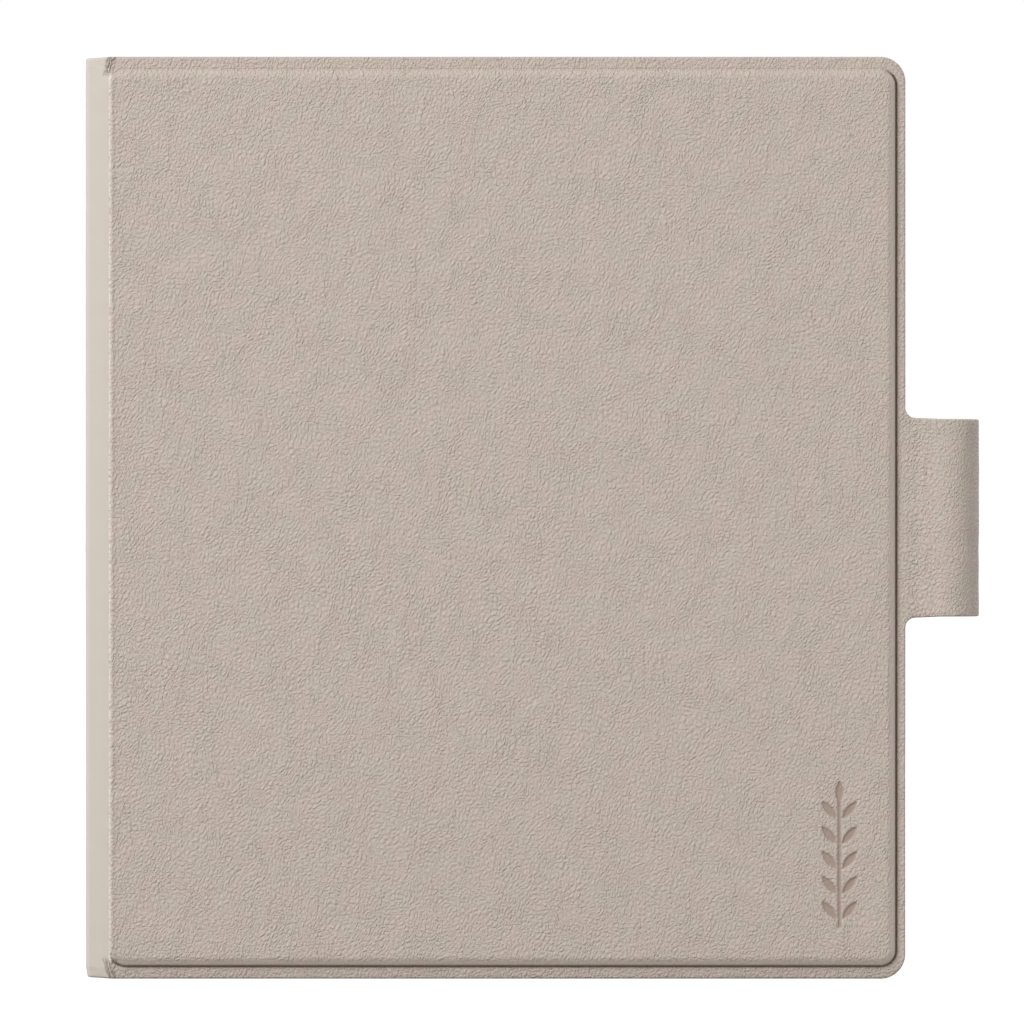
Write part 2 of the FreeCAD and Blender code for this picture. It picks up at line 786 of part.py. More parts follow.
def usb_opening(body):
    wide = "usb_wide + 2 * usb_clearance"
    deep = "usb_deep + 2 * usb_clearance"
    corners = centred("0", f"-{usb_middle()}", wide, deep, "usb_round + usb_clearance")
    bottom_cut(body, lambda sketch: outline(sketch, corners))


def grille(body):
    depth = f"-({FLOOR} + speaker_deep / 2)"

    def draw(sketch):
        for number in range(GRILLE_HOLES):
            along = f"speaker_across + {number - (GRILLE_HOLES - 1) / 2} * grille_pitch"
            round_hole(sketch, along, depth, "grille_radius", f"hole_{number}")

    bottom_cut(body, draw)


def microphone_hole(body):
    depth = f"-({BOARD_FRONT} + microphone_deep / 2)"
    bottom_cut(body, lambda sketch: round_hole(sketch, "microphone_across", depth, "mic_hole_radius"))


def card_slot(body):
    """The memory card's slot, low in the right-hand edge."""
    sketch = sketch_on(body, "YZ_Plane", f"{READER_RIGHT} + wall_overrun")
    middle = f"-({BOARD_FRONT} + microsd_socket_deep / 2)"
    slot = centred(middle, "microsd_socket_up", "card_slot_deep", "card_slot_tall", "card_slot_round")
    outline(sketch, slot)
    pocket(body, sketch, "shell_wall + 2 * wall_overrun")


def power_middle():
    return f"(({FLOOR} + {FRAME_BACK}) / 2)"


def power_opening(body):
    sketch = sketch_on(body, "XY_Plane", f"{READER_TOP} + wall_overrun")
    wide = "power_wide + 2 * key_clearance"
    deep = "power_deep + 2 * key_clearance"
    outline(sketch, centred("power_right", f"-{power_middle()}", wide, deep, "power_round + key_clearance"))
    pocket(body, sketch, "shell_wall + 2 * wall_overrun")


def key_places():
    return {"page_button_prev": "key_up", "page_button_next": "-key_up"}


def front_bezel():
    """The front frame: window for the screen, two key holes, and a skirt inside the rear shell."""
    body = plate("front_bezel", reader_outline("0"), SEAM, READER_FRONT)
    round_edges(body, edges_at_depth(body, READER_FRONT), "reader_edge_round")
    skirt = sketch_on(body, "XZ_Plane", SEAM)
    outline(skirt, reader_outline("shell_wall + skirt_clearance"), "out")
    outline(skirt, reader_outline("shell_wall + skirt_clearance + skirt_thick"), "in")
    pad(body, skirt, "skirt_deep", backward=True)
    opening = rectangle(WINDOW_LEFT, WINDOW_RIGHT, f"-{WINDOW_TOP}", WINDOW_TOP, "window_corner")
    window(body, opening, SEAM, READER_FRONT)
    for up in key_places().values():
        opening = centred(
            "key_right", up, "key_wide + 2 * key_clearance", "key_tall + 2 * key_clearance",
            "key_round + key_clearance",
        )
        window(body, opening, SEAM, READER_FRONT)
    relief_low = f"(-{WINDOW_TOP} - led_relief_tall)"
    relief = rectangle(WINDOW_LEFT, WINDOW_RIGHT, relief_low, f"{relief_low} + 2 * led_relief_tall")
    window(body, relief, SEAM, f"({SEAM} + led_relief_deep)")
    return body


def mid_frame():
    """The magnesium tray that holds the screen, open around the keys, cables and socket."""
    body = plate("mid_frame", reader_outline("shell_wall + frame_clearance"), FRAME_BACK, FRAME_FRONT)
    below = f"(-{READER_TOP})"
    usb_top = f"({below} + usb_setback + usb_long + frame_clearance)"
    keys = centred(
        "key_board_right", "0", "key_board_wide + 2 * frame_clearance", "key_board_tall + 2 * cable_slack"
    )
    socket = rectangle("-usb_wide / 2 - frame_clearance", "usb_wide / 2 + frame_clearance", below, usb_top)
    display_wide = "(display_connector_wide / 2 + cable_slack)"
    display_slot = rectangle(
        f"display_connector_across - {display_wide}", f"display_connector_across + {display_wide}",
        below, f"{GLASS_LOW} + flex_thick",
    )
    touch_slot = centred(
        f"({SCREEN_RIGHT} + flex_thick / 2)", "touch_connector_up",
        "cable_slot_wide", "touch_connector_tall + 2 * cable_slack",
    )
    for opening in (keys, socket, display_slot, touch_slot):
        window(body, opening, FRAME_BACK, FRAME_FRONT)
    drill(body, FRAME_SCREWS, "screw_head_radius + 2 * screw_clearance", FRAME_FRONT, "screw_head_thick")
    drill(body, FRAME_SCREWS, "screw_radius + screw_clearance", FRAME_FRONT, "frame_thick")
    return body


# ---------------------------------------------------------------- reader: screen stack


def screen_corners(inset):
    left, right = f"{WINDOW_LEFT} + ({inset})", f"{WINDOW_RIGHT} - ({inset})"
    return rectangle(left, right, f"-{WINDOW_TOP} + ({inset})", f"{WINDOW_TOP} - ({inset})")


def screen():
    lens_corners = [(across, up, "window_corner") for across, up, _ in screen_corners("lens_clearance")]
    tape = plate("display_tape", screen_corners("2 * screen_inset"), FRAME_FRONT, GLASS_BACK)
    window(tape, screen_corners("screen_tape_border"), FRAME_FRONT, GLASS_BACK)
    glass = rectangle(
        f"{WINDOW_LEFT} + screen_inset", f"{WINDOW_RIGHT} - 2 * screen_inset",
        GLASS_LOW, f"{WINDOW_TOP} - screen_inset",
    )
    inset = screen_corners("screen_inset")
    return [
        tape,
        block("eink_panel", glass, GLASS_BACK, GUIDE_BACK),
        block("light_guide", inset, GUIDE_BACK, TOUCH_BACK),
        block("touch_sensor", inset, TOUCH_BACK, LENS_BACK),
        plate("cover_lens", lens_corners, LENS_BACK, READER_FRONT),
        frontlight_strip(),
        frontlight_leds(),
    ]


def led_top():
    """The light sources stand just below the light guide's lower edge."""
    return f"({GLASS_LOW} - lens_clearance)"


def frontlight_strip():
    """The narrow circuit strip that the light sources are soldered to."""
    half = f"({LED_COUNT / 2} * led_pitch)"
    low = f"{led_top()} - led_tall - lens_clearance"
    corners = rectangle(f"screen_right - {half}", f"screen_right + {half}", low, led_top())
    return block("frontlight_strip", corners, GUIDE_BACK, f"{GUIDE_BACK} + led_strip_thick")


def frontlight_leds():
    """A row of white light sources shining up into the edge of the light guide."""
    back = f"{GUIDE_BACK} + led_strip_thick"
    row = []
    for number in range(LED_COUNT):
        across = f"screen_right + {number - (LED_COUNT - 1) / 2} * led_pitch"
        corners = centred(across, f"{led_top()} - led_tall / 2", "led_wide", "led_tall")
        row.append(block(f"led_{number}", corners, back, f"{back} + led_deep"))
    return group("frontlight_leds", row)


# ---------------------------------------------------------------- reader: keys


def page_button(label, up):
    """A long key cap with a lip behind the bezel that keeps it from falling out."""
    lip_front = f"({SEAM} - key_lip_gap)"
    lip_back = f"({lip_front} - key_lip_thick)"
    lip = centred("key_right", up, "key_wide + 2 * key_lip", "key_tall + 2 * key_lip", "key_round")
    body = plate(label, lip, lip_back, lip_front)
    cap = sketch_on(body, "XZ_Plane", lip_front)
    outline(cap, centred("key_right", up, "key_wide", "key_tall", "key_round"))
    top = f"({READER_FRONT} + key_proud)"
    pad(body, cap, f"{top} - {lip_front}")
    round_edges(body, edges_at_depth(body, top), "key_top_round")
    return body


def key_board():
    """The narrow circuit board under the page keys, with its contact domes and screws."""
    corners = centred("key_board_right", "0", "key_board_wide", "key_board_tall")
    board = plate("button_board", corners, KEY_BOARD_BACK, FRAME_BACK)
    drill(board, key_post_places(), "screw_radius + screw_clearance", FRAME_BACK, "key_board_thick")
    domes = []
    for number, up in enumerate(key_places().values(), start=1):
        front = f"{FRAME_BACK} + dome_deep"
        domes.append(disc(f"dome_{number}", "key_right", up, "dome_radius", FRAME_BACK, front))
    return [
        board,
        group("page_switches", domes),
        screw_set("button_board_screws", key_post_places(), FRAME_BACK, "key_board_thick + screw_bite"),
    ]


def power_key():
    """A short key in the top edge with a flange behind the wall, and the switch below it."""
    wall = f"({READER_TOP} - shell_wall)"
    flange_top = f"({wall} - power_flange_gap)"
    flange_low = f"({flange_top} - power_flange_thick)"
    body = new_body("power_button")
    sketch = sketch_on(body, "XY_Plane", flange_low)
    wide = "power_wide + 2 * power_flange"
    outline(sketch, centred("power_right", f"-{power_middle()}", wide, "power_deep", "power_round"))
    pad(body, sketch, "power_flange_thick")
    cap = sketch_on(body, "XY_Plane", flange_top)
    outline(cap, centred("power_right", f"-{power_middle()}", "power_wide", "power_deep", "power_round"))
    pad(body, cap, f"{READER_TOP} + power_proud - {flange_top}")
    switch_top = f"({flange_low} - power_travel_gap)"
    switch = rectangle(
        "power_right - power_switch_wide / 2", "power_right + power_switch_wide / 2",
        f"{switch_top} - power_switch_tall", switch_top,
    )
    switch_back = f"({FLOOR} + glue_thick + flex_thick)"
    return [
        body,
        block("power_switch", switch, switch_back, f"{FRAME_BACK} - 2 * lens_clearance"),
        power_flex(switch_top, switch_back),
    ]


def power_flex(switch_top, switch_back):
    """Flat cable from the power switch down to the upper end of the key board."""
    floor = f"({FLOOR} + glue_thick)"
    turn = "(key_board_tall / 2 + key_clearance)"
    top = f"(-{FRAME_BACK} + key_clearance)"
    section = [
        (f"-{floor}", turn),
        (f"-{floor}", switch_top),
        (f"-{switch_back}", switch_top),
        (f"-{switch_back}", f"{turn} + flex_thick"),
        (top, f"{turn} + flex_thick"),
        (top, turn),
    ]
    return cable("power_flex", "YZ_Plane", "power_right", section, "power_switch_wide")


# ---------------------------------------------------------------- reader: electronics


def cable(label, role, middle, section, wide):
    """A flat cable: its folded section, given a width."""
    body = new_body(label)
    sketch = sketch_on(body, role, middle)
    polygon(sketch, section)
    pad(body, sketch, wide, both_ways=True)
    return body


def screw_set(label, places, seat, long):
    """Small pan-head screws of one kind, standing on a depth."""
    screws = []
    top, tip = f"{seat} + screw_head_thick", f"{seat} - ({long})"
    for number, (across, up) in enumerate(places, start=1):
        head = disc(f"{label}_head_{number}", across, up, "screw_head_radius", seat, top)
        shank = disc(f"{label}_shank_{number}", across, up, "screw_radius", tip, seat)
        screws.append(fused(f"{label}_{number}", [head, shank]))
    return group(label, screws)


def mainboard():
    corners = centred("mainboard_across", "mainboard_up", "mainboard_wide", "mainboard_tall")
    body = plate("mainboard", corners, BOARD_BACK, BOARD_FRONT)
    top = f"(-{READER_TOP} + usb_setback + usb_long + 2 * usb_clearance)"
    right = "(usb_wide / 2 + 2 * usb_clearance)"
    window(body, rectangle(f"-{right}", right, f"-{READER_TOP}", top), BOARD_BACK, BOARD_FRONT)
    drill(body, BOARD_SCREWS, "screw_radius + screw_clearance", BOARD_FRONT, "mainboard_deep")
    return body


def board_parts():
    """Everything soldered on the mainboard."""
    memory = [component(f"memory_chip_{side}", BOARD_FRONT) for side in ("left", "right")]
    sockets = [
        component(f"{use}_connector", BOARD_FRONT) for use in ("display", "touch", "key", "battery")
    ]
    return [
        component("main_chip", BOARD_FRONT),
        group("memory_chips", memory),
        component("power_chip", BOARD_FRONT),
        chip_shield(),
        component("hall_sensor", BOARD_FRONT),
        component("microphone", BOARD_FRONT),
        component("microsd_socket", BOARD_FRONT),
        group("board_connectors", sockets),
        screw_set("board_screws", BOARD_SCREWS, BOARD_FRONT, "mainboard_deep + screw_bite - screw_tip_gap"),
        usb_port(),
    ]


def chip_shield():
    """A pressed steel lid over the processor and memory."""
    front = f"({BOARD_FRONT} + chip_shield_deep)"
    corners = centred(
        "chip_shield_across", "chip_shield_up", "chip_shield_wide", "chip_shield_tall", "shield_round"
    )
    body = plate("chip_shield", corners, BOARD_FRONT, front)
    inside = centred(
        "chip_shield_across", "chip_shield_up", "chip_shield_wide - 2 * shield_sheet",
        "chip_shield_tall - 2 * shield_sheet", "shield_round - shield_sheet",
    )
    sketch = sketch_on(body, "XZ_Plane", BOARD_FRONT)
    outline(sketch, inside)
    pocket(body, sketch, "chip_shield_deep - shield_sheet", along_normal=True)
    return body


def usb_port():
    """A metal tube, closed at its inner end, with the contact tongue standing in it."""
    mouth = f"(-{READER_TOP} + usb_setback)"
    middle = f"-{usb_middle()}"
    body = new_body("usb_c_port")
    sketch = sketch_on(body, "XY_Plane", mouth)
    outline(sketch, centred("0", middle, "usb_wide", "usb_deep", "usb_round"))
    pad(body, sketch, "usb_long")
    throat = sketch_on(body, "XY_Plane", mouth)
    wide, deep = "usb_wide - 2 * usb_metal", "usb_deep - 2 * usb_metal"
    outline(throat, centred("0", middle, wide, deep, "usb_round - usb_metal"))
    pocket(body, throat, "usb_long - usb_metal", along_normal=True)
    tongue = sketch_on(body, "XY_Plane", f"{mouth} + usb_tongue_setback")
    outline(tongue, centred("0", middle, "usb_tongue_wide", "usb_tongue_deep"))
    pad(body, tongue, "usb_long - usb_tongue_setback")
    return body


def cables():
    """The flat cables of the screen, the touch layer and the page keys."""
    board_top = f"(-{CONNECTOR_TOP})"
    below = f"({board_top} - flex_thick)"
    glass_middle = f"(-({GLASS_BACK} + {GUIDE_BACK}) / 2)"
    display_end = "(display_connector_up + display_connector_tall / 2)"
    display = [
        (glass_middle, f"{GLASS_LOW} - flex_thick"),
        (glass_middle, GLASS_LOW),
        (below, GLASS_LOW),
        (below, display_end),
        (board_top, display_end),
        (board_top, f"{GLASS_LOW} - flex_thick"),
    ]
    touch_middle = f"(-({TOUCH_BACK} + {LENS_BACK}) / 2)"
    touch_end = "(touch_connector_across - touch_connector_wide / 2)"
    touch = [
        (SCREEN_RIGHT, touch_middle),
        (SCREEN_RIGHT, below),
        (touch_end, below),
        (touch_end, board_top),
        (f"{SCREEN_RIGHT} + flex_thick", board_top),
        (f"{SCREEN_RIGHT} + flex_thick", touch_middle),
    ]
    key_run = rectangle(
        "key_connector_across - key_connector_wide / 2", "key_board_right - key_board_wide / 4",
        "key_connector_up - key_connector_tall / 2", "key_connector_up + key_connector_tall / 2",
    )
    return [
        cable("display_flex", "YZ_Plane", "display_connector_across", display, "display_connector_wide"),
        cable("touch_flex", "XY_Plane", "touch_connector_up", touch, "touch_connector_tall"),
        block("button_flex", key_run, CONNECTOR_TOP, f"{CONNECTOR_TOP} + flex_thick"),
    ]


def battery_lead():
    """Three round wires from the battery to its connector."""
    wires = []
    low = "battery_up - battery_tall / 2 - wire_long"
    depth = f"{CONNECTOR_TOP} + wire_radius"
    for number in (-1, 0, 1):
        wire = doc.addObject("Part::Cylinder", "wire")
        bind(wire, "Radius", "wire_radius")
        bind(wire, "Height", "wire_long")
        place(wire, f"battery_connector_across + {number} * wire_pitch", depth, low)
        wires.append(wire)
    return group("battery_lead", wires)


def loose_parts():
    tape_front = f"({FLOOR} + battery_tape_deep)"
    magnet_middle = f"({FLOOR} + glue_thick + magnet_thick / 2)"
    seat = f"({FRAME_FRONT} - screw_head_thick)"
    return [
        component("battery_tape", FLOOR),
        component("battery", tape_front),
        battery_lead(),
        component("antenna_flex", FLOOR),
        component("speaker", f"({FLOOR} + glue_thick)"),
        component("speaker_mesh", f"({FLOOR} + 3 * glue_thick)"),
        component("closure_plate", f"({SEAM} - closure_plate_deep)"),
        magnet_set("reader_magnets", ATTACH_PLACES, "magnet_tall", magnet_middle),
        screw_set("frame_screws", FRAME_SCREWS, seat, "screw_bite + board_boss_tall"),
    ]


# ---------------------------------------------------------------- build, check and write


def build():
    pieces = back_cover() + front_cover() + spine() + hinge_webs() + [pen_loop()]
    pieces += [rear_shell(), front_bezel(), mid_frame()] + screen()
    pieces += [page_button(label, up) for label, up in key_places().items()]
    pieces += key_board() + power_key() + [mainboard()] + board_parts() + cables() + loose_parts()
    doc.recompute()
    return pieces


def check(pieces):
    """Stops if any object failed to compute, or a piece isn't a sound solid."""
    for item in doc.Objects:
        if "Invalid" in item.State or "Error" in item.State:
            raise RuntimeError(f"{item.Label} did not compute: {item.State}")
    for piece in pieces:
        shape = piece.Shape
        if shape.isNull() or not shape.isValid() or not shape.Solids:
            raise RuntimeError(f"{piece.Label} has no sound solid")


def write(pieces):
    os.makedirs("parts", exist_ok=True)
    for piece in pieces:
        piece.Shape.exportStep(os.path.join("parts", f"{piece.Label}.step"))
    print(f"wrote {len(pieces)} pieces")


parts = build()
check(parts)
write(parts)
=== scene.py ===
"""An e-reader in a book-style leather cover, dressed over its CAD frame.

The leather and the lining of the cover are meshes that bend across the two folds of the spine. The
reader itself, the boards and everything inside stay CAD nodes and get materials here. Lengths are in
millimetres in the frame's axes; h is the height above the back cover's outer face, towards -Y.
"""
import json
import math

import bpy
import numpy as np
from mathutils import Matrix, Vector


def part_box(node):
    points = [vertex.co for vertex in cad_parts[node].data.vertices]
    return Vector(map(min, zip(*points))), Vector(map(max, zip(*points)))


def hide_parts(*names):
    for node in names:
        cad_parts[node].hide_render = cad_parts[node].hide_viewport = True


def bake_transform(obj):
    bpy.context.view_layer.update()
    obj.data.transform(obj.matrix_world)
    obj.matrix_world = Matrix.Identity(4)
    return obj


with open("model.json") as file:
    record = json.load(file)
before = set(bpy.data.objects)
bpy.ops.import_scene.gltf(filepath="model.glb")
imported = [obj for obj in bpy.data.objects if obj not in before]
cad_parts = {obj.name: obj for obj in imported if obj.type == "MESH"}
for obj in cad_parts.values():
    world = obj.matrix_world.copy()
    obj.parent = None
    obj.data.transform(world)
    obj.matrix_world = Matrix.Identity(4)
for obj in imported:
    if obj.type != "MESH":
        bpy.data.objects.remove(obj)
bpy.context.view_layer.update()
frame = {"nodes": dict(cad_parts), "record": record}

MM = 0.001


# ---------------------------------------------------------------- sizes taken from the frame

def box_mm(node):
    """The low and high corners of a CAD node's box, in millimetres."""
    low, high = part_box(node)
    return np.array(low) / MM, np.array(high) / MM


LEATHER = 0.8
LINING = 0.4
STIFFENER = 0.4

SKIN_LOW, SKIN_HIGH = box_mm("front_cover_skin")
BOARD_HIGH = box_mm("front_cover_board")[1]
SPINE_LOW, SPINE_HIGH = box_mm("spine_skin")
LOOP_LOW, LOOP_HIGH = box_mm("pen_loop")
LINING_HIGH = box_mm("front_cover_lining")[1]

DEPTH = -SKIN_LOW[1]
PANEL_X = BOARD_HIGH[0] + LEATHER
PANEL_Z = BOARD_HIGH[2] + LEATHER
PANEL_R = 2.8
HEM_X = box_mm("back_cover_skin")[1][0]
HEM_Z = SKIN_HIGH[2]
HEM_H = -box_mm("front_hinge_skin")[0][1]
HEM_R = 4.35
PANEL_RISE = DEPTH - HEM_H
SPINE_X = SPINE_LOW[0]
SPINE_H = -SPINE_LOW[1]
SPINE_TAPER = 0.5 * (1 - SPINE_HIGH[2] / HEM_Z)
LOOP_X, LOOP_Y, _ = (LOOP_LOW + LOOP_HIGH) / 2
LOOP_R = (LOOP_HIGH[0] - LOOP_LOW[0]) / 2
LOOP_Z = LOOP_HIGH[2]

TONGUE_TIP = SKIN_HIGH[0]
TONGUE_R = 1.8
ROOT_X = HEM_X + TONGUE_R
TONGUE_Z = LOOP_Z + TONGUE_R


# ---------------------------------------------------------------- small tools

def smooth(value, low, high):
    """0 below low, 1 above high, and an even S between them."""
    t = np.clip((value - low) / (high - low), 0, 1)
    return t * t * (3 - 2 * t)


def graded(stops):
    """Positions from the first stop to the last; each stop gives the step that follows it."""
    parts = []
    for (start, step), (end, _) in zip(stops, stops[1:]):
        count = max(1, round(abs(end - start) / step))
        parts.append(np.linspace(start, end, count, endpoint=False))
    return np.append(np.concatenate(parts), stops[-1][0])


def ripple(x, z, wavelength, seed):
    """Even random relief, mostly between -1 and 1, made of waves in scattered directions."""
    rng = np.random.default_rng(seed)
    waves = 10
    total = np.zeros(np.broadcast(x, z).shape)
    for _ in range(waves):
        angle, phase = rng.uniform(0, 2 * math.pi, 2)
        k = 2 * math.pi / (wavelength * rng.uniform(0.7, 1.6))
        total += np.cos(k * (x * math.cos(angle) + z * math.sin(angle)) + phase)
    return total / math.sqrt(2 * waves)


def walk(start, heading, moves, distance):
    """Follows straights and arcs, given as (length, turn), and says where each distance comes out."""
    x, h = start
    begun = 0.0
    out_x, out_h, out_angle = (np.zeros_like(distance) for _ in range(3))
    for length, turn in moves:
        along = np.clip(distance - begun, 0, length)
        angle = heading + turn * along / length
        if turn:
            radius = length / turn
            step_x = radius * (np.sin(angle) - math.sin(heading))
            step_h = radius * (math.cos(heading) - np.cos(angle))
        else:
            step_x = along * math.cos(heading)
            step_h = along * math.sin(heading)
        here = distance >= begun
        out_x = np.where(here, x + step_x, out_x)
        out_h = np.where(here, h + step_h, out_h)
        out_angle = np.where(here, angle, out_angle)
        if turn:
            x += radius * (math.sin(heading + turn) - math.sin(heading))
            h += radius * (math.cos(heading) - math.cos(heading + turn))
        else:
            x += length * math.cos(heading)
            h += length * math.sin(heading)
        heading += turn
        begun += length
    return out_x, out_h, out_angle


def grid_faces(ids):
    """Quads over a grid of vertex numbers, facing the viewer when columns run right and rows up."""
    corners = (ids[:-1, :-1], ids[1:, :-1], ids[1:, 1:], ids[:-1, 1:])
    return np.stack([c.ravel() for c in corners], axis=1)


def closed_sheet(name, outer, inner, faces, attributes):
    """A sheet with a thickness: outer and inner points in mm as (x, z, h), with walls round its rim."""
    count = len(outer)
    edges = np.concatenate([faces[:, [k, (k + 1) % 4]] for k in range(4)])
    key = edges.min(axis=1).astype(np.int64) * count + edges.max(axis=1)
    _, first, uses = np.unique(key, return_index=True, return_counts=True)
    rim = edges[first[uses == 1]]
    walls = np.column_stack([rim[:, 1], rim[:, 0], rim[:, 0] + count, rim[:, 1] + count])
    quads = np.concatenate([faces, faces[:, ::-1] + count, walls])
    points = np.concatenate([outer, inner]) * MM
    mesh = bpy.data.meshes.new(name)
    mesh.from_pydata(np.column_stack([points[:, 0], -points[:, 2], points[:, 1]]), [], quads.tolist())
    mesh.shade_smooth()
    for label, values in attributes.items():
        kind, field = ("FLOAT_VECTOR", "vector") if values.ndim == 2 else ("FLOAT", "value")
        layer = mesh.attributes.new(label, kind, "POINT")
        layer.data.foreach_set(field, np.concatenate([values, values]).astype(np.float32).ravel())
    piece = bpy.data.objects.new(name, mesh)
    bpy.context.scene.collection.objects.link(piece)
    return piece


# ---------------------------------------------------------------- cross-section of the wrap

BEVEL = math.atan2(HEM_H - SPINE_H, -PANEL_X - SPINE_X)
WEB_R = 1.4
WEB_TANGENT = WEB_R * math.tan(BEVEL / 2)
SPINE_TURN = math.pi / 2 - BEVEL
SPINE_TANGENT = WEB_R * math.tan(SPINE_TURN / 2)
BEVEL_LENGTH = math.hypot(HEM_H - SPINE_H, -PANEL_X - SPINE_X)
WEB_MOVES = [
    (WEB_R * BEVEL, BEVEL),
    (BEVEL_LENGTH - WEB_TANGENT - SPINE_TANGENT, 0.0),
    (WEB_R * SPINE_TURN, SPINE_TURN),
    (SPINE_H - SPINE_TANGENT - DEPTH / 2, 0.0),
]
WEB_START = -PANEL_X + WEB_TANGENT
WEB_LENGTH = sum(length for length, _ in WEB_MOVES)
SPINE_FROM = sum(length for length, _ in WEB_MOVES[:2])


def wrap_base(s):
    """The wrap's base line: flat at hem height, then down the hinge and round to mid spine."""
    x, h, angle = walk((WEB_START, HEM_H), math.pi, WEB_MOVES, np.clip(WEB_START - s, 0, None))
    flat = s >= WEB_START
    return (
        np.where(flat, s, x),
        np.where(flat, HEM_H, h),
        np.where(flat, 0.0, np.sin(angle)),
        np.where(flat, 1.0, -np.cos(angle)),
    )


def off_line(x, h, normal_x, normal_h, z, offset):
    """Points as (x, z, h) at an offset from a base line, along its normal."""
    return np.stack([x + normal_x * offset, z, h + normal_h * offset], -1)


def loop_moves():
    """The pen loop's way from the tongue over the top, round the pen and back under the tongue."""
    to_centre = (LOOP_X - TONGUE_TIP, -LOOP_Y - HEM_H)
    reach = math.hypot(*to_centre)
    rise = math.atan2(to_centre[1], to_centre[0]) + math.asin(LOOP_R / reach)
    band = math.sqrt(reach**2 - LOOP_R**2)
    bend_r = 1.2
    tangent = bend_r * math.tan(rise / 2)
    round_pen = rise + 1.5 * math.pi
    return [
        (TONGUE_TIP - ROOT_X - tangent, 0.0),
        (bend_r * rise, rise),
        (band - tangent, 0.0),
        (LOOP_R * round_pen, -round_pen),
        (HEM_H - LEATHER + LOOP_Y, 0.0),
    ]


# ---------------------------------------------------------------- relief of the leather

CROWN_WIDTH = 1.9
CROWN_DROP = 0.80
GROOVE_DEPTH = 0.42
TOP_GROOVE = 0.20
RIM_RISE = 0.10
SPINE_SWELL = 0.2
LOOP_SWELL = 0.25
LOOP_TAPER = 0.010
EDGE_R = 0.38
UNDER_EDGE_R = 0.16
LINING_EDGE_R = 0.28
HEM_DROOP = 0.16
SURFACE_SWELL = 0.02
RIM_RIPPLE = 0.05
HEM_RIPPLE = 0.03
LOOP_RIPPLE = 0.045


def panel_distance(x, z):
    """Distance outside the raised panel's outline, and the way its nearest side faces."""
    over_x = np.abs(x) - (PANEL_X - PANEL_R)
    over_z = np.abs(z) - (PANEL_Z - PANEL_R)
    past_x, past_z = np.clip(over_x, 0, None), np.clip(over_z, 0, None)
    corner = np.hypot(past_x, past_z)
    distance = corner + np.minimum(np.maximum(over_x, over_z), 0) - PANEL_R
    corner = np.maximum(corner, 1e-6)
    return distance, np.sign(x) * past_x / corner, np.sign(z) * past_z / corner


def panel_relief(x, z):
    """Height over the hem: the board's shoulder and creased groove, or its slope at the spine."""
    d, facing_x, facing_z = panel_distance(x, z)
    crown = PANEL_RISE - CROWN_DROP * np.clip(d / CROWN_WIDTH + 1, 0, 1) ** 2.4
    wall = smooth(d, -0.27, -0.09)
    depth = GROOVE_DEPTH * (1 - (1 - TOP_GROOVE) * smooth(facing_z, 0.3, 0.9))
    groove = depth * (1 - smooth(d, 0.02, 0.20))
    shoulder = crown * (1 - wall) - groove * wall
    rim = RIM_RISE * np.exp(-(((d + 0.6) / 0.28) ** 2))
    slope = (PANEL_RISE + rim) * (1 - smooth(d, -0.40, 0.12))
    spineward = smooth(-facing_x, 0.45, 0.95)
    return shoulder * (1 - spineward) + slope * spineward


def hem_distance(x, z, tongue):
    """Distance inside the outline of the hem, which has rounded corners and may carry a tongue."""
    top = HEM_Z - np.abs(z)
    right = HEM_X - x
    if tongue:
        fillet = np.hypot(x - ROOT_X, np.abs(z) - TONGUE_Z) - TONGUE_R
        right = np.where(np.abs(z) < TONGUE_Z, np.where(x < ROOT_X, fillet, LOOP_Z - np.abs(z)), right)
    from_x = x - (HEM_X - HEM_R)
    from_z = np.abs(z) - (HEM_Z - HEM_R)
    corner = HEM_R - np.hypot(from_x, from_z)
    return np.where((from_x > 0) & (from_z > 0), corner, np.minimum(top, right))


def edge_drop(inside, radius):
    """How far a rounded edge falls away, from radius inside the outline to the outline itself."""
    short = np.clip(radius - np.clip(inside, 0, radius), 0, radius)
    return radius - np.sqrt(radius**2 - short**2)


MARK_X = 58.5
MARK_Z = -58.5
MARK_LENGTH = 25.6
MARK_DEPTH = 0.26
STEM_HALF_WIDTH = 0.3
LEAF_PAIRS = 5
LEAF_PITCH = 4.35
LOWEST_LEAF = 3.1
LEAF_OFFSET = 1.75
LEAF_HALF = (2.0, 0.66)
LEAF_ANGLE = math.radians(50)


def leaf(x, z, centre_x, centre_z, angle):
    """Distance inside a pointed leaf whose long axis leans by angle from +X."""
    along = (x - centre_x) * math.cos(angle) + (z - centre_z) * math.sin(angle)
    across = (z - centre_z) * math.cos(angle) - (x - centre_x) * math.sin(angle)
    half_length, half_width = LEAF_HALF
    return half_width * (1 - (along / half_length) ** 2) - np.abs(across)


def sprig(x, z):
    """1 inside the pressed leaf sprig in the corner of the panel, 0 outside."""
    foot = MARK_Z - MARK_LENGTH / 2
    head = MARK_Z + MARK_LENGTH / 2
    stem_ends = np.minimum(z - foot, head - LEAF_HALF[0] - z)
    stem = np.minimum(STEM_HALF_WIDTH - np.abs(x - MARK_X), stem_ends)
    inside = np.maximum(stem, leaf(x, z, MARK_X, head - LEAF_HALF[0], math.pi / 2))
    for pair in range(LEAF_PAIRS):
        level = foot + LOWEST_LEAF + LEAF_PITCH * pair
        for side in (-1, 1):
            angle = LEAF_ANGLE if side > 0 else math.pi - LEAF_ANGLE
            inside = np.maximum(inside, leaf(x, z, MARK_X + side * LEAF_OFFSET, level, angle))
    return smooth(inside, -0.10, 0.12)


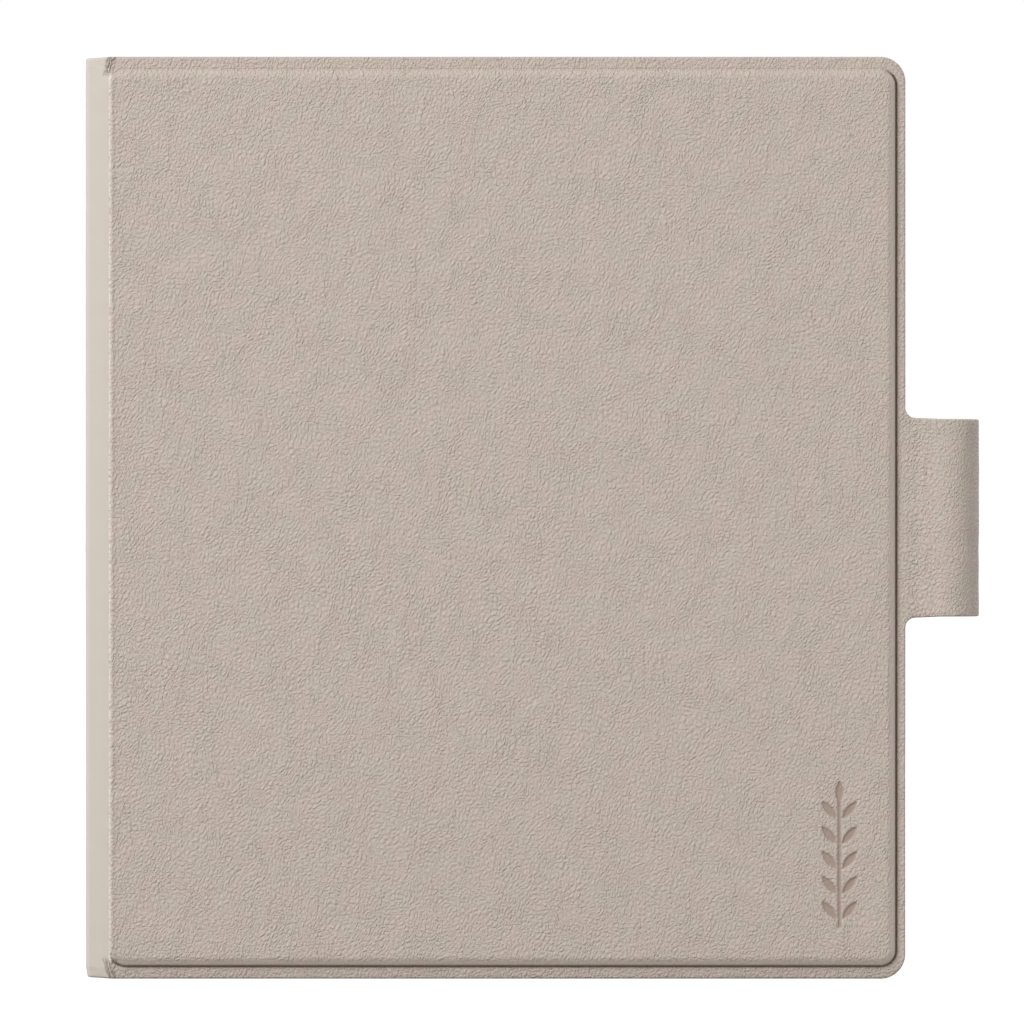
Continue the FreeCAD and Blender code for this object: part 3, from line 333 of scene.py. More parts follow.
# Each small fold at a hinge end: its place outside the panel's edge, its lean and its depth.
WRINKLES = ((0.45, 0.25, 0.36), (0.95, 0.32, 0.28), (-0.10, 0.42, 0.24), (-0.80, 0.15, 0.12))
WRINKLE_HALF_WIDTH = 0.14
WRINKLE_WAVER = 0.13


def leather_marks(s, z, front):
    """What the material needs to know of the relief: pressed, creased with painted shade on the shaded
    sides, pulled smooth, and the left ridge that gets a painted highlight.
    """
    d, facing_x, facing_z = panel_distance(s, z)
    # Painted shade: the groove darkens only on its right and lower sides, which face away from the
    # light, and in the corner wrinkles.
    shaded = np.maximum(smooth(facing_x, 0.1, 0.8), 0.7 * smooth(-facing_z, 0.2, 0.9))
    groove = shaded * smooth(d, -0.28, -0.14) * (1 - smooth(d, 0.04, 0.18))
    crease = np.clip(groove + 3.0 * corner_wrinkles(s, z), 0, 1)
    pulled = smooth(np.maximum(facing_x, -0.7 * facing_z), 0.2, 0.7)
    taut = smooth(d, -1.7, -0.7) * (1 - smooth(d, 0.0, 0.3)) * pulled
    # A thin band along the panel's left ridge, where the colour gets a painted highlight of bright
    # beads.
    ridge_highlight = np.exp(-(((s + PANEL_X - 0.10) / 0.20) ** 2)) * (np.abs(z) < PANEL_Z - 0.6)
    pressed = sprig(s, z) if front else np.zeros(s.shape)
    return np.column_stack([pressed.ravel(), crease.ravel(), taut.ravel()]), ridge_highlight.ravel()


def corner_wrinkles(s, z):
    """Small folds where the hem turns over the ends of the hinge."""
    depth = np.zeros(s.shape)
    for place, lean, deep in WRINKLES:
        off = s + PANEL_X + place - lean * (np.abs(z) - PANEL_Z) + WRINKLE_WAVER * ripple(s, z, 1.0, 7)
        depth += deep * np.exp(-((off / WRINKLE_HALF_WIDTH) ** 2))
    return depth * smooth(np.abs(z), PANEL_Z - 1.7, PANEL_Z - 0.4)


def leather_relief(s, z, x, tongue, seed):
    """The leather's outer surface over its base line."""
    relief = panel_relief(x, z) * (s > -PANEL_X - 1)
    relief = relief + SURFACE_SWELL * ripple(s, z, 6.0, seed)
    at_rim = smooth(-s, PANEL_X - 1.3, PANEL_X - 0.5) * (1 - smooth(-s, PANEL_X, PANEL_X + 0.3))
    relief = relief + RIM_RIPPLE * at_rim * ripple(s, z, 1.1, seed + 2)
    hem = smooth(np.maximum(x - PANEL_X, np.abs(z) - PANEL_Z), 0.2, 0.6)
    relief = relief + HEM_RIPPLE * hem * ripple(s, z, 3.0, seed + 3)
    relief = relief - HEM_DROOP * np.clip(-z - PANEL_Z - 0.3, 0, None)
    relief = relief - corner_wrinkles(s, z) + SPINE_SWELL * smooth(WEB_START - s, 1.5, SPINE_FROM + 1.0)
    if tongue:
        relief = relief - MARK_DEPTH * sprig(x, z)
    return relief - edge_drop(hem_distance(x, z, tongue), EDGE_R)


# ---------------------------------------------------------------- leather of one cover

# The back's grain is taken this far along the pattern, so that the two covers don't match.
BACK_SHIFT = 400.0
MARK_STEP = 0.2
MARK_REACH = 3.3
ROW_STEP = 0.42
FINE = 0.11
FINEST = 0.07


def cover_columns(marked):
    """Where the grid's columns lie: close together at the hinge, the mark, the shoulder and the edge."""
    hinge = [(WEB_START - WEB_LENGTH, 0.22), (-PANEL_X - 0.6, FINE), (-PANEL_X + 3.0, 1.5)]
    mark = [(MARK_X - MARK_REACH, MARK_STEP), (MARK_X + MARK_REACH, 0.9)] if marked else []
    edge = [(PANEL_X - 3.0, FINE), (PANEL_X + 0.5, 0.18), (HEM_X - 0.4, FINEST), (HEM_X, 0.0)]
    return graded(hinge + mark + edge)


def cover_rows(marked):
    """Where the grid's rows lie, from the bottom edge to the top one."""
    edge = [(HEM_Z, FINEST), (HEM_Z - 0.4, 0.2), (PANEL_Z + 0.5, FINE), (PANEL_Z - 3.0, ROW_STEP)]
    tongue = [(TONGUE_Z, 0.15), (LOOP_Z, FINEST), (LOOP_Z - 0.4, ROW_STEP)]
    reach = MARK_LENGTH / 2 + 0.3
    mark = [(-MARK_Z + reach, MARK_STEP), (-MARK_Z - reach, ROW_STEP)]
    upper = edge + tongue if marked else edge
    lower = edge + mark + tongue if marked else edge
    return np.concatenate([-graded(lower + [(0.0, 0.0)])[:-1], graded(upper + [(0.0, 0.0)])[::-1]])


def round_corners(x, z, edge_x, edge_z, radius):
    """Draws the square grid into rounded right-hand corners, so its last lines follow the outline."""
    u = np.clip((x - (edge_x - radius)) / radius, 0, 1)
    v = np.clip((np.abs(z) - (edge_z - radius)) / radius, 0, 1)
    corner = (u > 0) & (v > 0)
    new_x = edge_x - radius + radius * u * np.sqrt(1 - v**2 / 2)
    new_z = np.sign(z) * (edge_z - radius + radius * v * np.sqrt(1 - u**2 / 2))
    return np.where(corner, new_x, x), np.where(corner, new_z, z)


def stretch_to_tongue(x, z):
    """Moves the last columns out to the tongue's edge and its two concave fillets."""
    anchor = PANEL_X + 0.5
    off = np.clip(TONGUE_Z - np.abs(z), 0, TONGUE_R)
    edge = HEM_X + TONGUE_R - np.sqrt(TONGUE_R**2 - off**2)
    return np.where(x > anchor, anchor + (x - anchor) * (edge - anchor) / (HEM_X - anchor), x)


def cavity(x, z):
    """1 where the board lies under the leather, 0 where leather meets lining."""
    return 1 - smooth(np.maximum(np.abs(x) - BOARD_HIGH[0], np.abs(z) - BOARD_HIGH[2]), 0.0, 0.15)


def cover_points(s, z, tongue, seed):
    """Outer and inner points of the leather over the grid (s, z)."""
    x, z = round_corners(s, z, HEM_X, HEM_Z, HEM_R)
    if tongue:
        x = stretch_to_tongue(x, z)
    base_x, base_h, normal_x, normal_h = wrap_base(x)
    relief = leather_relief(x, z, base_x, tongue, seed)
    under = -LEATHER + PANEL_RISE * cavity(x, z) * (x > WEB_START)
    under = under + edge_drop(hem_distance(base_x, z, tongue), UNDER_EDGE_R)
    narrowing = 1 - SPINE_TAPER * smooth(WEB_START - x, 0, SPINE_FROM)
    line = (base_x, base_h, normal_x, normal_h, z * narrowing)
    return off_line(*line, relief), off_line(*line, under), x


def loop_points(z, seed):
    """The pen loop's columns after the tongue, for the rows that it covers."""
    moves = loop_moves()
    total = sum(length for length, _ in moves)
    run = graded([(0.0, 0.16), (1.2, 0.4), (total - 4.0, 0.5), (total, 0.0)])[1:]
    run, z = np.meshgrid(run, z, indexing="ij")
    x, h, angle = walk((ROOT_X, HEM_H), 0.0, moves, run)
    normal_x, normal_h = -np.sin(angle), np.cos(angle)
    soft = smooth(run, 0.3, 1.5) * (1 - smooth(run, total - 6.0, total - 3.0))
    relief = LOOP_RIPPLE * soft * ripple(run, z, 5.0, seed)
    relief = relief + LOOP_SWELL * np.clip(np.cos(angle + math.pi / 2), 0, 1)
    relief = relief - edge_drop(LOOP_Z - np.abs(z), EDGE_R)
    narrowing = 1 - LOOP_TAPER * smooth(run, 0.0, 5.0)
    under = -LEATHER + edge_drop(LOOP_Z - np.abs(z), UNDER_EDGE_R)
    line = (x, h, normal_x, normal_h, z * narrowing)
    return off_line(*line, relief), off_line(*line, under), run + ROOT_X


def cover_leather(name, front):
    """The leather of one cover with its hinge and half of the spine; the front one has the loop."""
    seed = 11 if front else 51
    s, z = np.meshgrid(cover_columns(front), cover_rows(front), indexing="ij")
    outer, inner, flat_s = cover_points(s, z, front, seed)
    ids = np.arange(s.size).reshape(s.shape)
    faces = [grid_faces(ids)]
    parts = [(outer, inner, flat_s, z)]
    if front:
        loop_rows = np.flatnonzero(np.abs(z[0]) <= LOOP_Z + 1e-6)
        loop_z = z[0, loop_rows]
        loop_outer, loop_inner, loop_s = loop_points(loop_z, seed + 20)
        loop_ids = s.size + np.arange(loop_s.size).reshape(loop_s.shape)
        faces.append(grid_faces(np.vstack([ids[-1, loop_rows], loop_ids])))
        parts.append((loop_outer, loop_inner, loop_s, np.broadcast_to(loop_z, loop_s.shape)))
    outer = np.concatenate([p[0].reshape(-1, 3) for p in parts])
    inner = np.concatenate([p[1].reshape(-1, 3) for p in parts])
    flat_s = np.concatenate([p[2].ravel() for p in parts])
    flat_z = np.concatenate([p[3].ravel() for p in parts])
    faces = np.concatenate(faces)
    strip = smooth(-flat_s, PANEL_X - 0.1, PANEL_X + 0.15)
    strip = strip + smooth(WEB_START - flat_s, SPINE_FROM - 0.3, SPINE_FROM + 0.6)
    marks, ridge_highlight = leather_marks(flat_s, flat_z, front)
    attributes = {
        "flat": np.column_stack([flat_s + (0.0 if front else BACK_SHIFT), flat_z, strip]),
        "marks": marks,
        "ridge_highlight": ridge_highlight,
    }
    if not front:
        outer, inner, faces = mirrored(outer, inner, faces)
    return closed_sheet(name, outer, inner, faces, attributes)


def mirrored(outer, inner, faces):
    """The same sheet seen from the other cover: depth reversed, faces turned to suit."""
    flip = np.array([1, 1, -1])
    shift = np.array([0, 0, DEPTH])
    return outer * flip + shift, inner * flip + shift, faces[:, ::-1]


# ---------------------------------------------------------------- lining of one cover

def cover_lining(name, front):
    """The cloth inside one cover, which runs on over the hinge to the middle of the spine."""
    far_edge = [(LINING_HIGH[0] - 0.3, 0.1), (LINING_HIGH[0], 0.0)]
    columns = graded([(WEB_START - WEB_LENGTH, 0.25), (-PANEL_X, 2.2), *far_edge])
    half_rows = graded([(LINING_HIGH[2], 0.1), (LINING_HIGH[2] - 0.3, 2.2), (0.0, 0.0)])
    s, z = np.meshgrid(columns, np.concatenate([-half_rows[:-1], half_rows[::-1]]), indexing="ij")
    over_stiffener = STIFFENER * smooth(WEB_START - s, SPINE_FROM - 0.6, SPINE_FROM + 0.8)
    inside = np.minimum(LINING_HIGH[2] - np.abs(z), LINING_HIGH[0] - s)
    s, z = round_corners(s, z, LINING_HIGH[0], LINING_HIGH[2], HEM_R - 0.3)
    base_x, base_h, normal_x, normal_h = wrap_base(s)
    narrowing = 1 - SPINE_TAPER * smooth(WEB_START - s, 0, SPINE_FROM)
    near = -LEATHER - over_stiffener
    far = near - LINING + edge_drop(inside, LINING_EDGE_R)
    line = (base_x, base_h, normal_x, normal_h, z * narrowing)
    outer, inner = (off_line(*line, offset).reshape(-1, 3) for offset in (near, far))
    faces = grid_faces(np.arange(s.size).reshape(s.shape))
    shift = 0.0 if front else BACK_SHIFT
    attributes = {"flat": np.column_stack([s.ravel() + shift, z.ravel(), np.zeros(s.size)])}
    if not front:
        outer, inner, faces = mirrored(outer, inner, faces)
    return closed_sheet(name, outer, inner, faces, attributes)


# ---------------------------------------------------------------- node materials

class Shader:
    """A node material being built; its methods return sockets that feed one another."""

    def __init__(self, name):
        self.material = bpy.data.materials.new(name)
        self.material.use_nodes = True
        self.tree = self.material.node_tree
        self.tree.nodes.clear()

    def node(self, kind, inputs, **settings):
        """A node with its settings, and with a value or a link for each input."""
        made = self.tree.nodes.new(kind)
        for key, value in settings.items():
            setattr(made, key, value)
        for key, value in inputs.items():
            if isinstance(value, bpy.types.NodeSocket):
                self.tree.links.new(value, made.inputs[key])
            else:
                made.inputs[key].default_value = value
        return made

    def math(self, operation, a, b=0.0, c=0.0):
        return self.node("ShaderNodeMath", {0: a, 1: b, 2: c}, operation=operation).outputs[0]

    def attribute(self, name, output="Vector"):
        return self.node("ShaderNodeAttribute", {}, attribute_name=name).outputs[output]

    def flat(self):
        """Where the point lies on the flat hide, and 1 on the plain strip, 2 on the spine."""
        return self.attribute("flat")

    def place(self):
        """The point in the frame, in millimetres."""
        inputs = {0: self.node("ShaderNodeTexCoord", {}).outputs["Object"], "Scale": 1 / MM}
        return self.node("ShaderNodeVectorMath", inputs, operation="SCALE").outputs[0]

    def turned(self, vector, stretch, degrees=0.0):
        """The pattern's coordinates turned, then stretched, so that a grain can lean."""
        inputs = {"Vector": vector, "Angle": math.radians(degrees)}
        turn = self.node("ShaderNodeVectorRotate", inputs, rotation_type="Z_AXIS").outputs[0]
        return self.node("ShaderNodeVectorMath", {0: turn, 1: stretch}, operation="MULTIPLY").outputs[0]

    def noise(self, vector, scale, detail=2.0, roughness=0.5, flat=False):
        inputs = {"Vector": vector, "Scale": scale, "Detail": detail, "Roughness": roughness}
        size = "2D" if flat else "3D"
        return self.node("ShaderNodeTexNoise", inputs, noise_dimensions=size).outputs["Fac"]

    def warped(self, vector, scale, amount):
        """The pattern's coordinates pushed about by a soft noise, by up to half the amount."""
        inputs = {"Vector": vector, "Scale": scale, "Detail": 0.0}
        push = self.node("ShaderNodeTexNoise", inputs, noise_dimensions="2D").outputs["Color"]
        inputs = {0: push, 1: (0.5, 0.5, 0.5)}
        centred = self.node("ShaderNodeVectorMath", inputs, operation="SUBTRACT").outputs[0]
        inputs = {0: centred, 1: (amount, amount, amount), 2: vector}
        return self.node("ShaderNodeVectorMath", inputs, operation="MULTIPLY_ADD").outputs[0]

    def ramp(self, value, low, high, to_low=0.0, to_high=1.0):
        """A smooth step from to_low to to_high while the value goes from low to high."""
        inputs = {0: value, 1: low, 2: high, 3: to_low, 4: to_high}
        return self.node("ShaderNodeMapRange", inputs, interpolation_type="SMOOTHSTEP").outputs[0]

    def cells(self, vector, scale):
        """0 on the lines between random cells, rising towards the middle of each."""
        inputs = {"Vector": vector, "Scale": scale}
        settings = {"feature": "DISTANCE_TO_EDGE", "voronoi_dimensions": "2D"}
        return self.node("ShaderNodeTexVoronoi", inputs, **settings).outputs["Distance"]

    def crease(self, value, width):
        """0 along the lines where a noise crosses its middle, 1 away from them."""
        away = self.math("ABSOLUTE", self.math("SUBTRACT", value, 0.5))
        return self.ramp(away, 0.0, width)

    def mix(self, factor, a, b):
        return self.node("ShaderNodeMix", {0: factor, 6: a, 7: b}, data_type="RGBA").outputs[2]

    def bump(self, height, distance):
        """The surface's tilt where a height of 1 stands for the distance in millimetres."""
        inputs = {"Height": height, "Distance": distance * MM, "Strength": 1.0}
        return self.node("ShaderNodeBump", inputs).outputs[0]

    def light_only(self, seen, unseen):
        """What the camera sees directly, and a plainer stand-in for light that bounces."""
        path = self.node("ShaderNodeLightPath", {}).outputs["Is Camera Ray"]
        return self.node("ShaderNodeMixShader", {0: path, 1: unseen, 2: seen}).outputs[0]

    def finish(self, shader):
        self.node("ShaderNodeOutputMaterial", {"Surface": shader})
        return self.material

    def principled(self, **inputs):
        names = {key.replace("_", " "): value for key, value in inputs.items()}
        return self.finish(self.node("ShaderNodeBsdfPrincipled", names).outputs[0])


def rgb(red, green, blue):
    """A display colour of 0 to 255 as the linear colour that a node wants."""
    linear = [((c / 255 + 0.055) / 1.055) ** 2.4 for c in (red, green, blue)]
    return (*linear, 1.0)


WHITE = (1.0, 1.0, 1.0, 1.0)
FILM_TINT = (0.993, 0.993, 0.993, 1.0)
LEATHER_TONE = rgb(192, 179, 169)
WARM_TONE = rgb(194, 179, 170)
COOL_TONE = rgb(191, 180, 168)
SHADOW_TONE = rgb(146, 131, 119)
STRIP_TONE = rgb(196, 187, 177)
SPINE_HIGHLIGHT_TONE = rgb(205, 198, 192)
RIDGE_HIGHLIGHT_TONE = rgb(238, 230, 220)
PRESSED_TONE = rgb(160, 140, 128)
CREASE_SHADE_TONE = rgb(92, 79, 69)
PEBBLES_PER_MM = 1.38
PEBBLE_LEAN = 20.0
TOOTH_PER_MM = 2.3
CREASE_LEAN = 16.0


def leather_grain(sh, flat):
    """The grain's height, and the pebbles and the finer tooth that make it up."""
    drift = sh.warped(flat, 0.15, 1.6)
    leaning = sh.warped(sh.turned(drift, (1.0, 0.78, 1.0), PEBBLE_LEAN), 1.3, 0.34)
    pebbles = sh.ramp(sh.cells(leaning, PEBBLES_PER_MM), 0.0, 0.40)
    tooth = sh.noise(sh.turned(drift, (1.0, 0.8, 1.0), PEBBLE_LEAN), TOOTH_PER_MM, 1.0, 0.6, flat=True)
    steep = sh.noise(sh.turned(drift, (1.0, 0.20, 1.0), CREASE_LEAN), 0.26, 1.0, 0.5, flat=True)
    patches = sh.ramp(sh.noise(flat, 0.13, 1.0, flat=True), 0.46, 0.56)
    long_crease = sh.math("MULTIPLY", sh.crease(steep, 0.010), patches)
    beside_crease = sh.ramp(sh.crease(steep, 0.085), 0.0, 1.0, 0.105, 0.070)

    across = sh.node("ShaderNodeSeparateXYZ", {0: flat}).outputs["X"]
    bent = sh.ramp(across, HEM_X + 3.0, HEM_X + 6.0, 0.045, 0.0)
    bent = sh.math("MULTIPLY", bent, sh.ramp(across, HEM_X - 0.3, HEM_X + 0.6))
    height = sh.math("MULTIPLY", pebbles, sh.math("ADD", bent, beside_crease))
    height = sh.math("MULTIPLY_ADD", tooth, 0.22, height)
    return sh.math("MULTIPLY_ADD", long_crease, 0.05, height), pebbles, tooth


def leather_material():
    """Embossed leather, calmer where it is pressed, pulled taut, on the left ridge and on the plain
    strip; its colour paints a highlight on that ridge and on the spine's turn, and shade in creases.
    """
    sh = Shader("pebbled_leather")
    flat = sh.flat()
    strip = sh.node("ShaderNodeSeparateXYZ", {0: flat}).outputs["Z"]
    plain = sh.math("MINIMUM", strip, 1.0)
    marks = sh.node("ShaderNodeSeparateXYZ", {0: sh.attribute("marks")})
    pressed, crease_shade, taut = (marks.outputs[axis] for axis in "XYZ")
    ridge_highlight = sh.attribute("ridge_highlight", "Fac")

    height, pebbles, tooth = leather_grain(sh, flat)
    calm = sh.math("MULTIPLY", pressed, 0.75)
    for mark, share in ((taut, 0.8), (plain, 0.96), (ridge_highlight, 0.6)):
        calm = sh.math("MAXIMUM", calm, sh.math("MULTIPLY", mark, share))
    height = sh.math("MULTIPLY", height, sh.math("SUBTRACT", 1.0, calm))

    blotches = sh.ramp(sh.noise(flat, 0.22, 1.0, flat=True), 0.38, 0.62)
    tone = sh.mix(blotches, WARM_TONE, COOL_TONE)
    for share, colour in (
        (sh.ramp(pebbles, 0.0, 0.8, 0.12, 0.0), SHADOW_TONE),
        (plain, STRIP_TONE),
        # Lighter on the spine's rounded turn: a painted highlight.
        (sh.ramp(strip, 1.0, 2.0), SPINE_HIGHLIGHT_TONE),
        # Painted highlight: bright beads along the panel's left ridge.
        (sh.math("MULTIPLY", ridge_highlight, sh.ramp(tooth, 0.34, 0.50)), RIDGE_HIGHLIGHT_TONE),
        (sh.math("MULTIPLY", pressed, 0.9), PRESSED_TONE),
        # Painted shade in the shaded grooves and in the corner wrinkles.
        (sh.math("MULTIPLY", crease_shade, 0.85), CREASE_SHADE_TONE),
    ):
        tone = sh.mix(share, tone, colour)
    seen = {
        "Base Color": tone,
        "Roughness": sh.ramp(plain, 0.0, 1.0, 0.56, 0.45),
        "Specular IOR Level": 0.32,
        "Normal": sh.bump(height, 1.0),
    }
    unseen = sh.node("ShaderNodeBsdfDiffuse", {"Color": LEATHER_TONE}).outputs[0]
    return sh.finish(sh.light_only(sh.node("ShaderNodeBsdfPrincipled", seen).outputs[0], unseen))


def lining_material():
    """Short-nap microfibre with brushed streaks."""
    sh = Shader("microfibre")
    flat = sh.flat()
    nap = sh.noise(sh.turned(flat, (1.0, 0.4, 1.0), 15), 2.2, 3.0, 0.7)
    brushed = sh.noise(sh.turned(flat, (0.25, 1.0, 1.0), 20), 0.22, 2.0)
    tone = sh.mix(sh.ramp(brushed, 0.35, 0.65), rgb(171, 161, 149), rgb(178, 168, 156))
    tone = sh.mix(sh.ramp(nap, 0.35, 0.7, 0.25, 0.0), tone, rgb(138, 128, 117))
    return sh.principled(
        Base_Color=tone,
        Roughness=0.92,
        Specular_IOR_Level=0.2,
        Sheen_Weight=0.35,
        Sheen_Roughness=0.4,
        Normal=sh.bump(nap, 0.05),
    )


def grained_material(
    name, colour, roughness, metallic=0.0, grain=3.0, relief=0.01, shade=0.9, stretch=(1, 1, 1)
):
    """A moulded, blasted or brushed surface: one colour with its own fine grain and relief."""
    sh = Shader(name)
    place = sh.turned(sh.place(), stretch)
    fine = sh.noise(place, grain, 3.0, 0.6)
    broad = sh.noise(sh.place(), 0.12, 2.0)
    darker = tuple(c * shade for c in colour[:3]) + (1.0,)
    tone = sh.mix(sh.ramp(fine, 0.3, 0.7), darker, colour)
    tone = sh.mix(sh.ramp(broad, 0.35, 0.65, 0.0, 0.4), tone, darker)
    return sh.principled(
        Base_Color=tone,
        Metallic=metallic,
        Roughness=sh.ramp(fine, 0.3, 0.7, roughness - 0.05, roughness + 0.06),
        Normal=sh.bump(fine, relief),
    )


def film_material():
    """The light guide and the touch sheet: see-through, with a faint, slightly uneven sheen."""
    sh = Shader("clear_film")
    rough = sh.ramp(sh.noise(sh.place(), 4.0, 2.0), 0.3, 0.7, 0.26, 0.34)
    gloss = sh.node("ShaderNodeBsdfGlossy", {"Color": WHITE, "Roughness": rough}).outputs[0]
    through = sh.node("ShaderNodeBsdfTransparent", {"Color": FILM_TINT}).outputs[0]
    return sh.finish(sh.node("ShaderNodeMixShader", {0: 0.97, 1: gloss, 2: through}).outputs[0])


LINE_PITCH = 5.4
SHORT_LINE = 48.0
SIDE_MARGIN = 11.0
FOOT_MARGIN = 13.0
HEAD_MARGIN = 14.0


def page_tone(sh, x, z):
    """A grey page with lines of strokes in place of words."""
    low, high = box_mm("cover_lens")
    left, right = float(low[0]) + SIDE_MARGIN, float(high[0]) - SIDE_MARGIN
    foot, head = float(low[2]) + FOOT_MARGIN, float(high[2]) - HEAD_MARGIN
    line = sh.math("DIVIDE", sh.math("SUBTRACT", z, foot), LINE_PITCH)
    number = sh.math("FLOOR", line)
    level = sh.math("FRACT", line)
    seed = sh.node("ShaderNodeTexWhiteNoise", {"W": number}, noise_dimensions="1D").outputs["Value"]
    along = sh.node("ShaderNodeCombineXYZ", {0: x, 1: sh.math("MULTIPLY", number, 9.7)}).outputs[0]
    words = sh.ramp(sh.noise(along, 0.30, 1.0), 0.40, 0.44)
    strokes = sh.ramp(sh.noise(along, 2.1, 1.0), 0.43, 0.48, 0.35, 1.0)
    tall = sh.ramp(sh.noise(along, 1.1, 0.0), 0.52, 0.60, 0.50, 0.64)
    above_foot = sh.math("GREATER_THAN", level, 0.26)
    in_line = sh.math("MULTIPLY", above_foot, sh.math("LESS_THAN", level, tall))
    end = sh.ramp(seed, 0.80, 0.82, right, left + SHORT_LINE)
    in_block = sh.math("MULTIPLY", sh.math("GREATER_THAN", x, left), sh.math("LESS_THAN", x, end))
    in_page = sh.math("MULTIPLY", sh.math("GREATER_THAN", z, foot), sh.math("LESS_THAN", z, head))
    ink = sh.math("MULTIPLY", words, strokes)
    for limit in (in_line, in_block, in_page):
        ink = sh.math("MULTIPLY", ink, limit)
    paper = sh.mix(sh.noise(sh.place(), 6.0, 2.0), rgb(196, 195, 188), rgb(202, 201, 195))
    return sh.mix(sh.math("MULTIPLY", ink, 0.8), paper, rgb(62, 62, 64))


def page_material():
    """The e-ink panel under the lens."""
    sh = Shader("e_ink_page")
    place = sh.node("ShaderNodeSeparateXYZ", {0: sh.place()}).outputs
    return sh.principled(Base_Color=page_tone(sh, place["X"], place["Z"]), Roughness=0.75)


BORDER_OVERLAP = 3.0


def lens_material():
    """Etched glass bonded to the page, which shows in it, inside a printed border."""
    sh = Shader("etched_lens")
    place = sh.node("ShaderNodeSeparateXYZ", {0: sh.place()}).outputs
    low, high = box_mm("eink_panel")
    centre, half = (low + high) / 2, (high - low) / 2 - BORDER_OVERLAP
    off_x = sh.math("ABSOLUTE", sh.math("SUBTRACT", place["X"], float(centre[0])))
    off_z = sh.math("ABSOLUTE", sh.math("SUBTRACT", place["Z"], float(centre[2])))
    past_x = sh.math("GREATER_THAN", off_x, float(half[0]))
    past_z = sh.math("GREATER_THAN", off_z, float(half[2]))
    speckle = sh.noise(sh.place(), 6.0, 2.0)
    paint = sh.mix(speckle, rgb(212, 210, 204), rgb(217, 215, 209))
    page = page_tone(sh, place["X"], place["Z"])
    return sh.principled(
        Base_Color=sh.mix(sh.math("MAXIMUM", past_x, past_z), page, paint),
        Roughness=sh.ramp(speckle, 0.3, 0.7, 0.36, 0.44),
        Normal=sh.bump(speckle, 0.002),
    )


def board_material(name):
    """Solder mask over copper runs."""
    sh = Shader(name)
    inputs = {"Vector": sh.place(), "Scale": 0.35}
    runs = sh.node("ShaderNodeTexVoronoi", inputs, distance="MANHATTAN").outputs["Distance"]
    copper = sh.ramp(sh.math("PINGPONG", runs, 0.25), 0.09, 0.12)
    tone = sh.mix(copper, rgb(22, 74, 52), rgb(34, 102, 70))
    return sh.principled(Base_Color=tone, Roughness=0.38, Normal=sh.bump(copper, 0.03))


def slot_materials():
    """One node material for each material slot that CAD nodes use."""
    return {
        "cover_leather": leather_material(),
        "cover_lining": lining_material(),
        "cover_board": grained_material(
            "greyboard", rgb(178, 170, 156), 0.9, grain=1.6, relief=0.04, stretch=(0.3, 1, 1)
        ),
        "stiffener": grained_material("stiffener_sheet", rgb(226, 223, 214), 0.55),
        "magnet": grained_material("nickel", rgb(186, 186, 190), 0.22, 1.0, grain=5.0, relief=0.003),
        "shell_plastic": grained_material(
            "shell_plastic", rgb(222, 220, 214), 0.52, grain=5.0, relief=0.012, shade=0.965
        ),
        "key_plastic": grained_material(
            "key_plastic", rgb(217, 215, 209), 0.40, grain=6.0, relief=0.004, shade=0.97
        ),
        "frame_metal": grained_material(
            "blasted_alloy", rgb(176, 177, 180), 0.45, 1.0, grain=6.0, relief=0.012
        ),
        "screen_paper": page_material(),
        "lens_glass": lens_material(),
        "clear_sheet": film_material(),
        "tape": grained_material("foam_tape", rgb(38, 38, 38), 0.8, grain=2.5, relief=0.03, shade=0.7),
        "circuit_board": board_material("circuit_board"),
        "flat_cable": grained_material(
            "polyimide", rgb(186, 122, 44), 0.32, stretch=(0.2, 1, 1), relief=0.006
        ),
        "chip": grained_material("moulded_epoxy", rgb(36, 36, 39), 0.6, grain=4.0, shade=0.75),
        "sheet_steel": grained_material(
            "tinned_steel", rgb(200, 200, 203), 0.3, 1.0, stretch=(0.08, 1, 1), relief=0.004
        ),
        "led_white": grained_material("phosphor", rgb(246, 238, 196), 0.35),
        "battery_pouch": grained_material(
            "foil_pouch", rgb(168, 169, 172), 0.36, 0.9, grain=0.8, relief=0.05
        ),
        "wire": grained_material("wire_sleeve", rgb(176, 38, 32), 0.45, grain=2.0),
        "speaker_box": grained_material("speaker_box", rgb(34, 34, 35), 0.5, shade=0.8),
        "connector": grained_material("connector_nylon", rgb(222, 214, 192), 0.45),
    }


def dress_frame(materials):
    """Gives each CAD node the material of its slot."""
    for subpart in frame["record"]["subparts"]:
        node = frame["nodes"][subpart["node"]]
        node.data.materials.clear()
        node.data.materials.append(materials[subpart["material_slot"]])


# ---------------------------------------------------------------- the cover's four soft pieces


def make_cover(materials):
    """Both leathers and both linings; each bends from its cover to the spine."""
    for front, body, side in ((True, "front_cover", "front"), (False, "root", "back")):
        leather = cover_leather(f"{side}_leather", front)
        lining = cover_lining(f"{side}_inner_cloth", front)
        for piece, slot_name in ((leather, "cover_leather"), (lining, "cover_lining")):
            piece.data.materials.append(materials[slot_name])
            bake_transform(piece)
        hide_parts(f"{side}_cover_skin", f"{side}_hinge_skin")
        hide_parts(f"{side}_cover_lining", f"{side}_hinge_lining")
        if front:
            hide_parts("pen_loop", "spine_skin")
            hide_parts("spine_lining")


# ---------------------------------------------------------------- floor, light and camera

FLOOR_REACH = 8.0
FLOOR_GLOW = 0.84
WORLD_LIGHT = 0.66


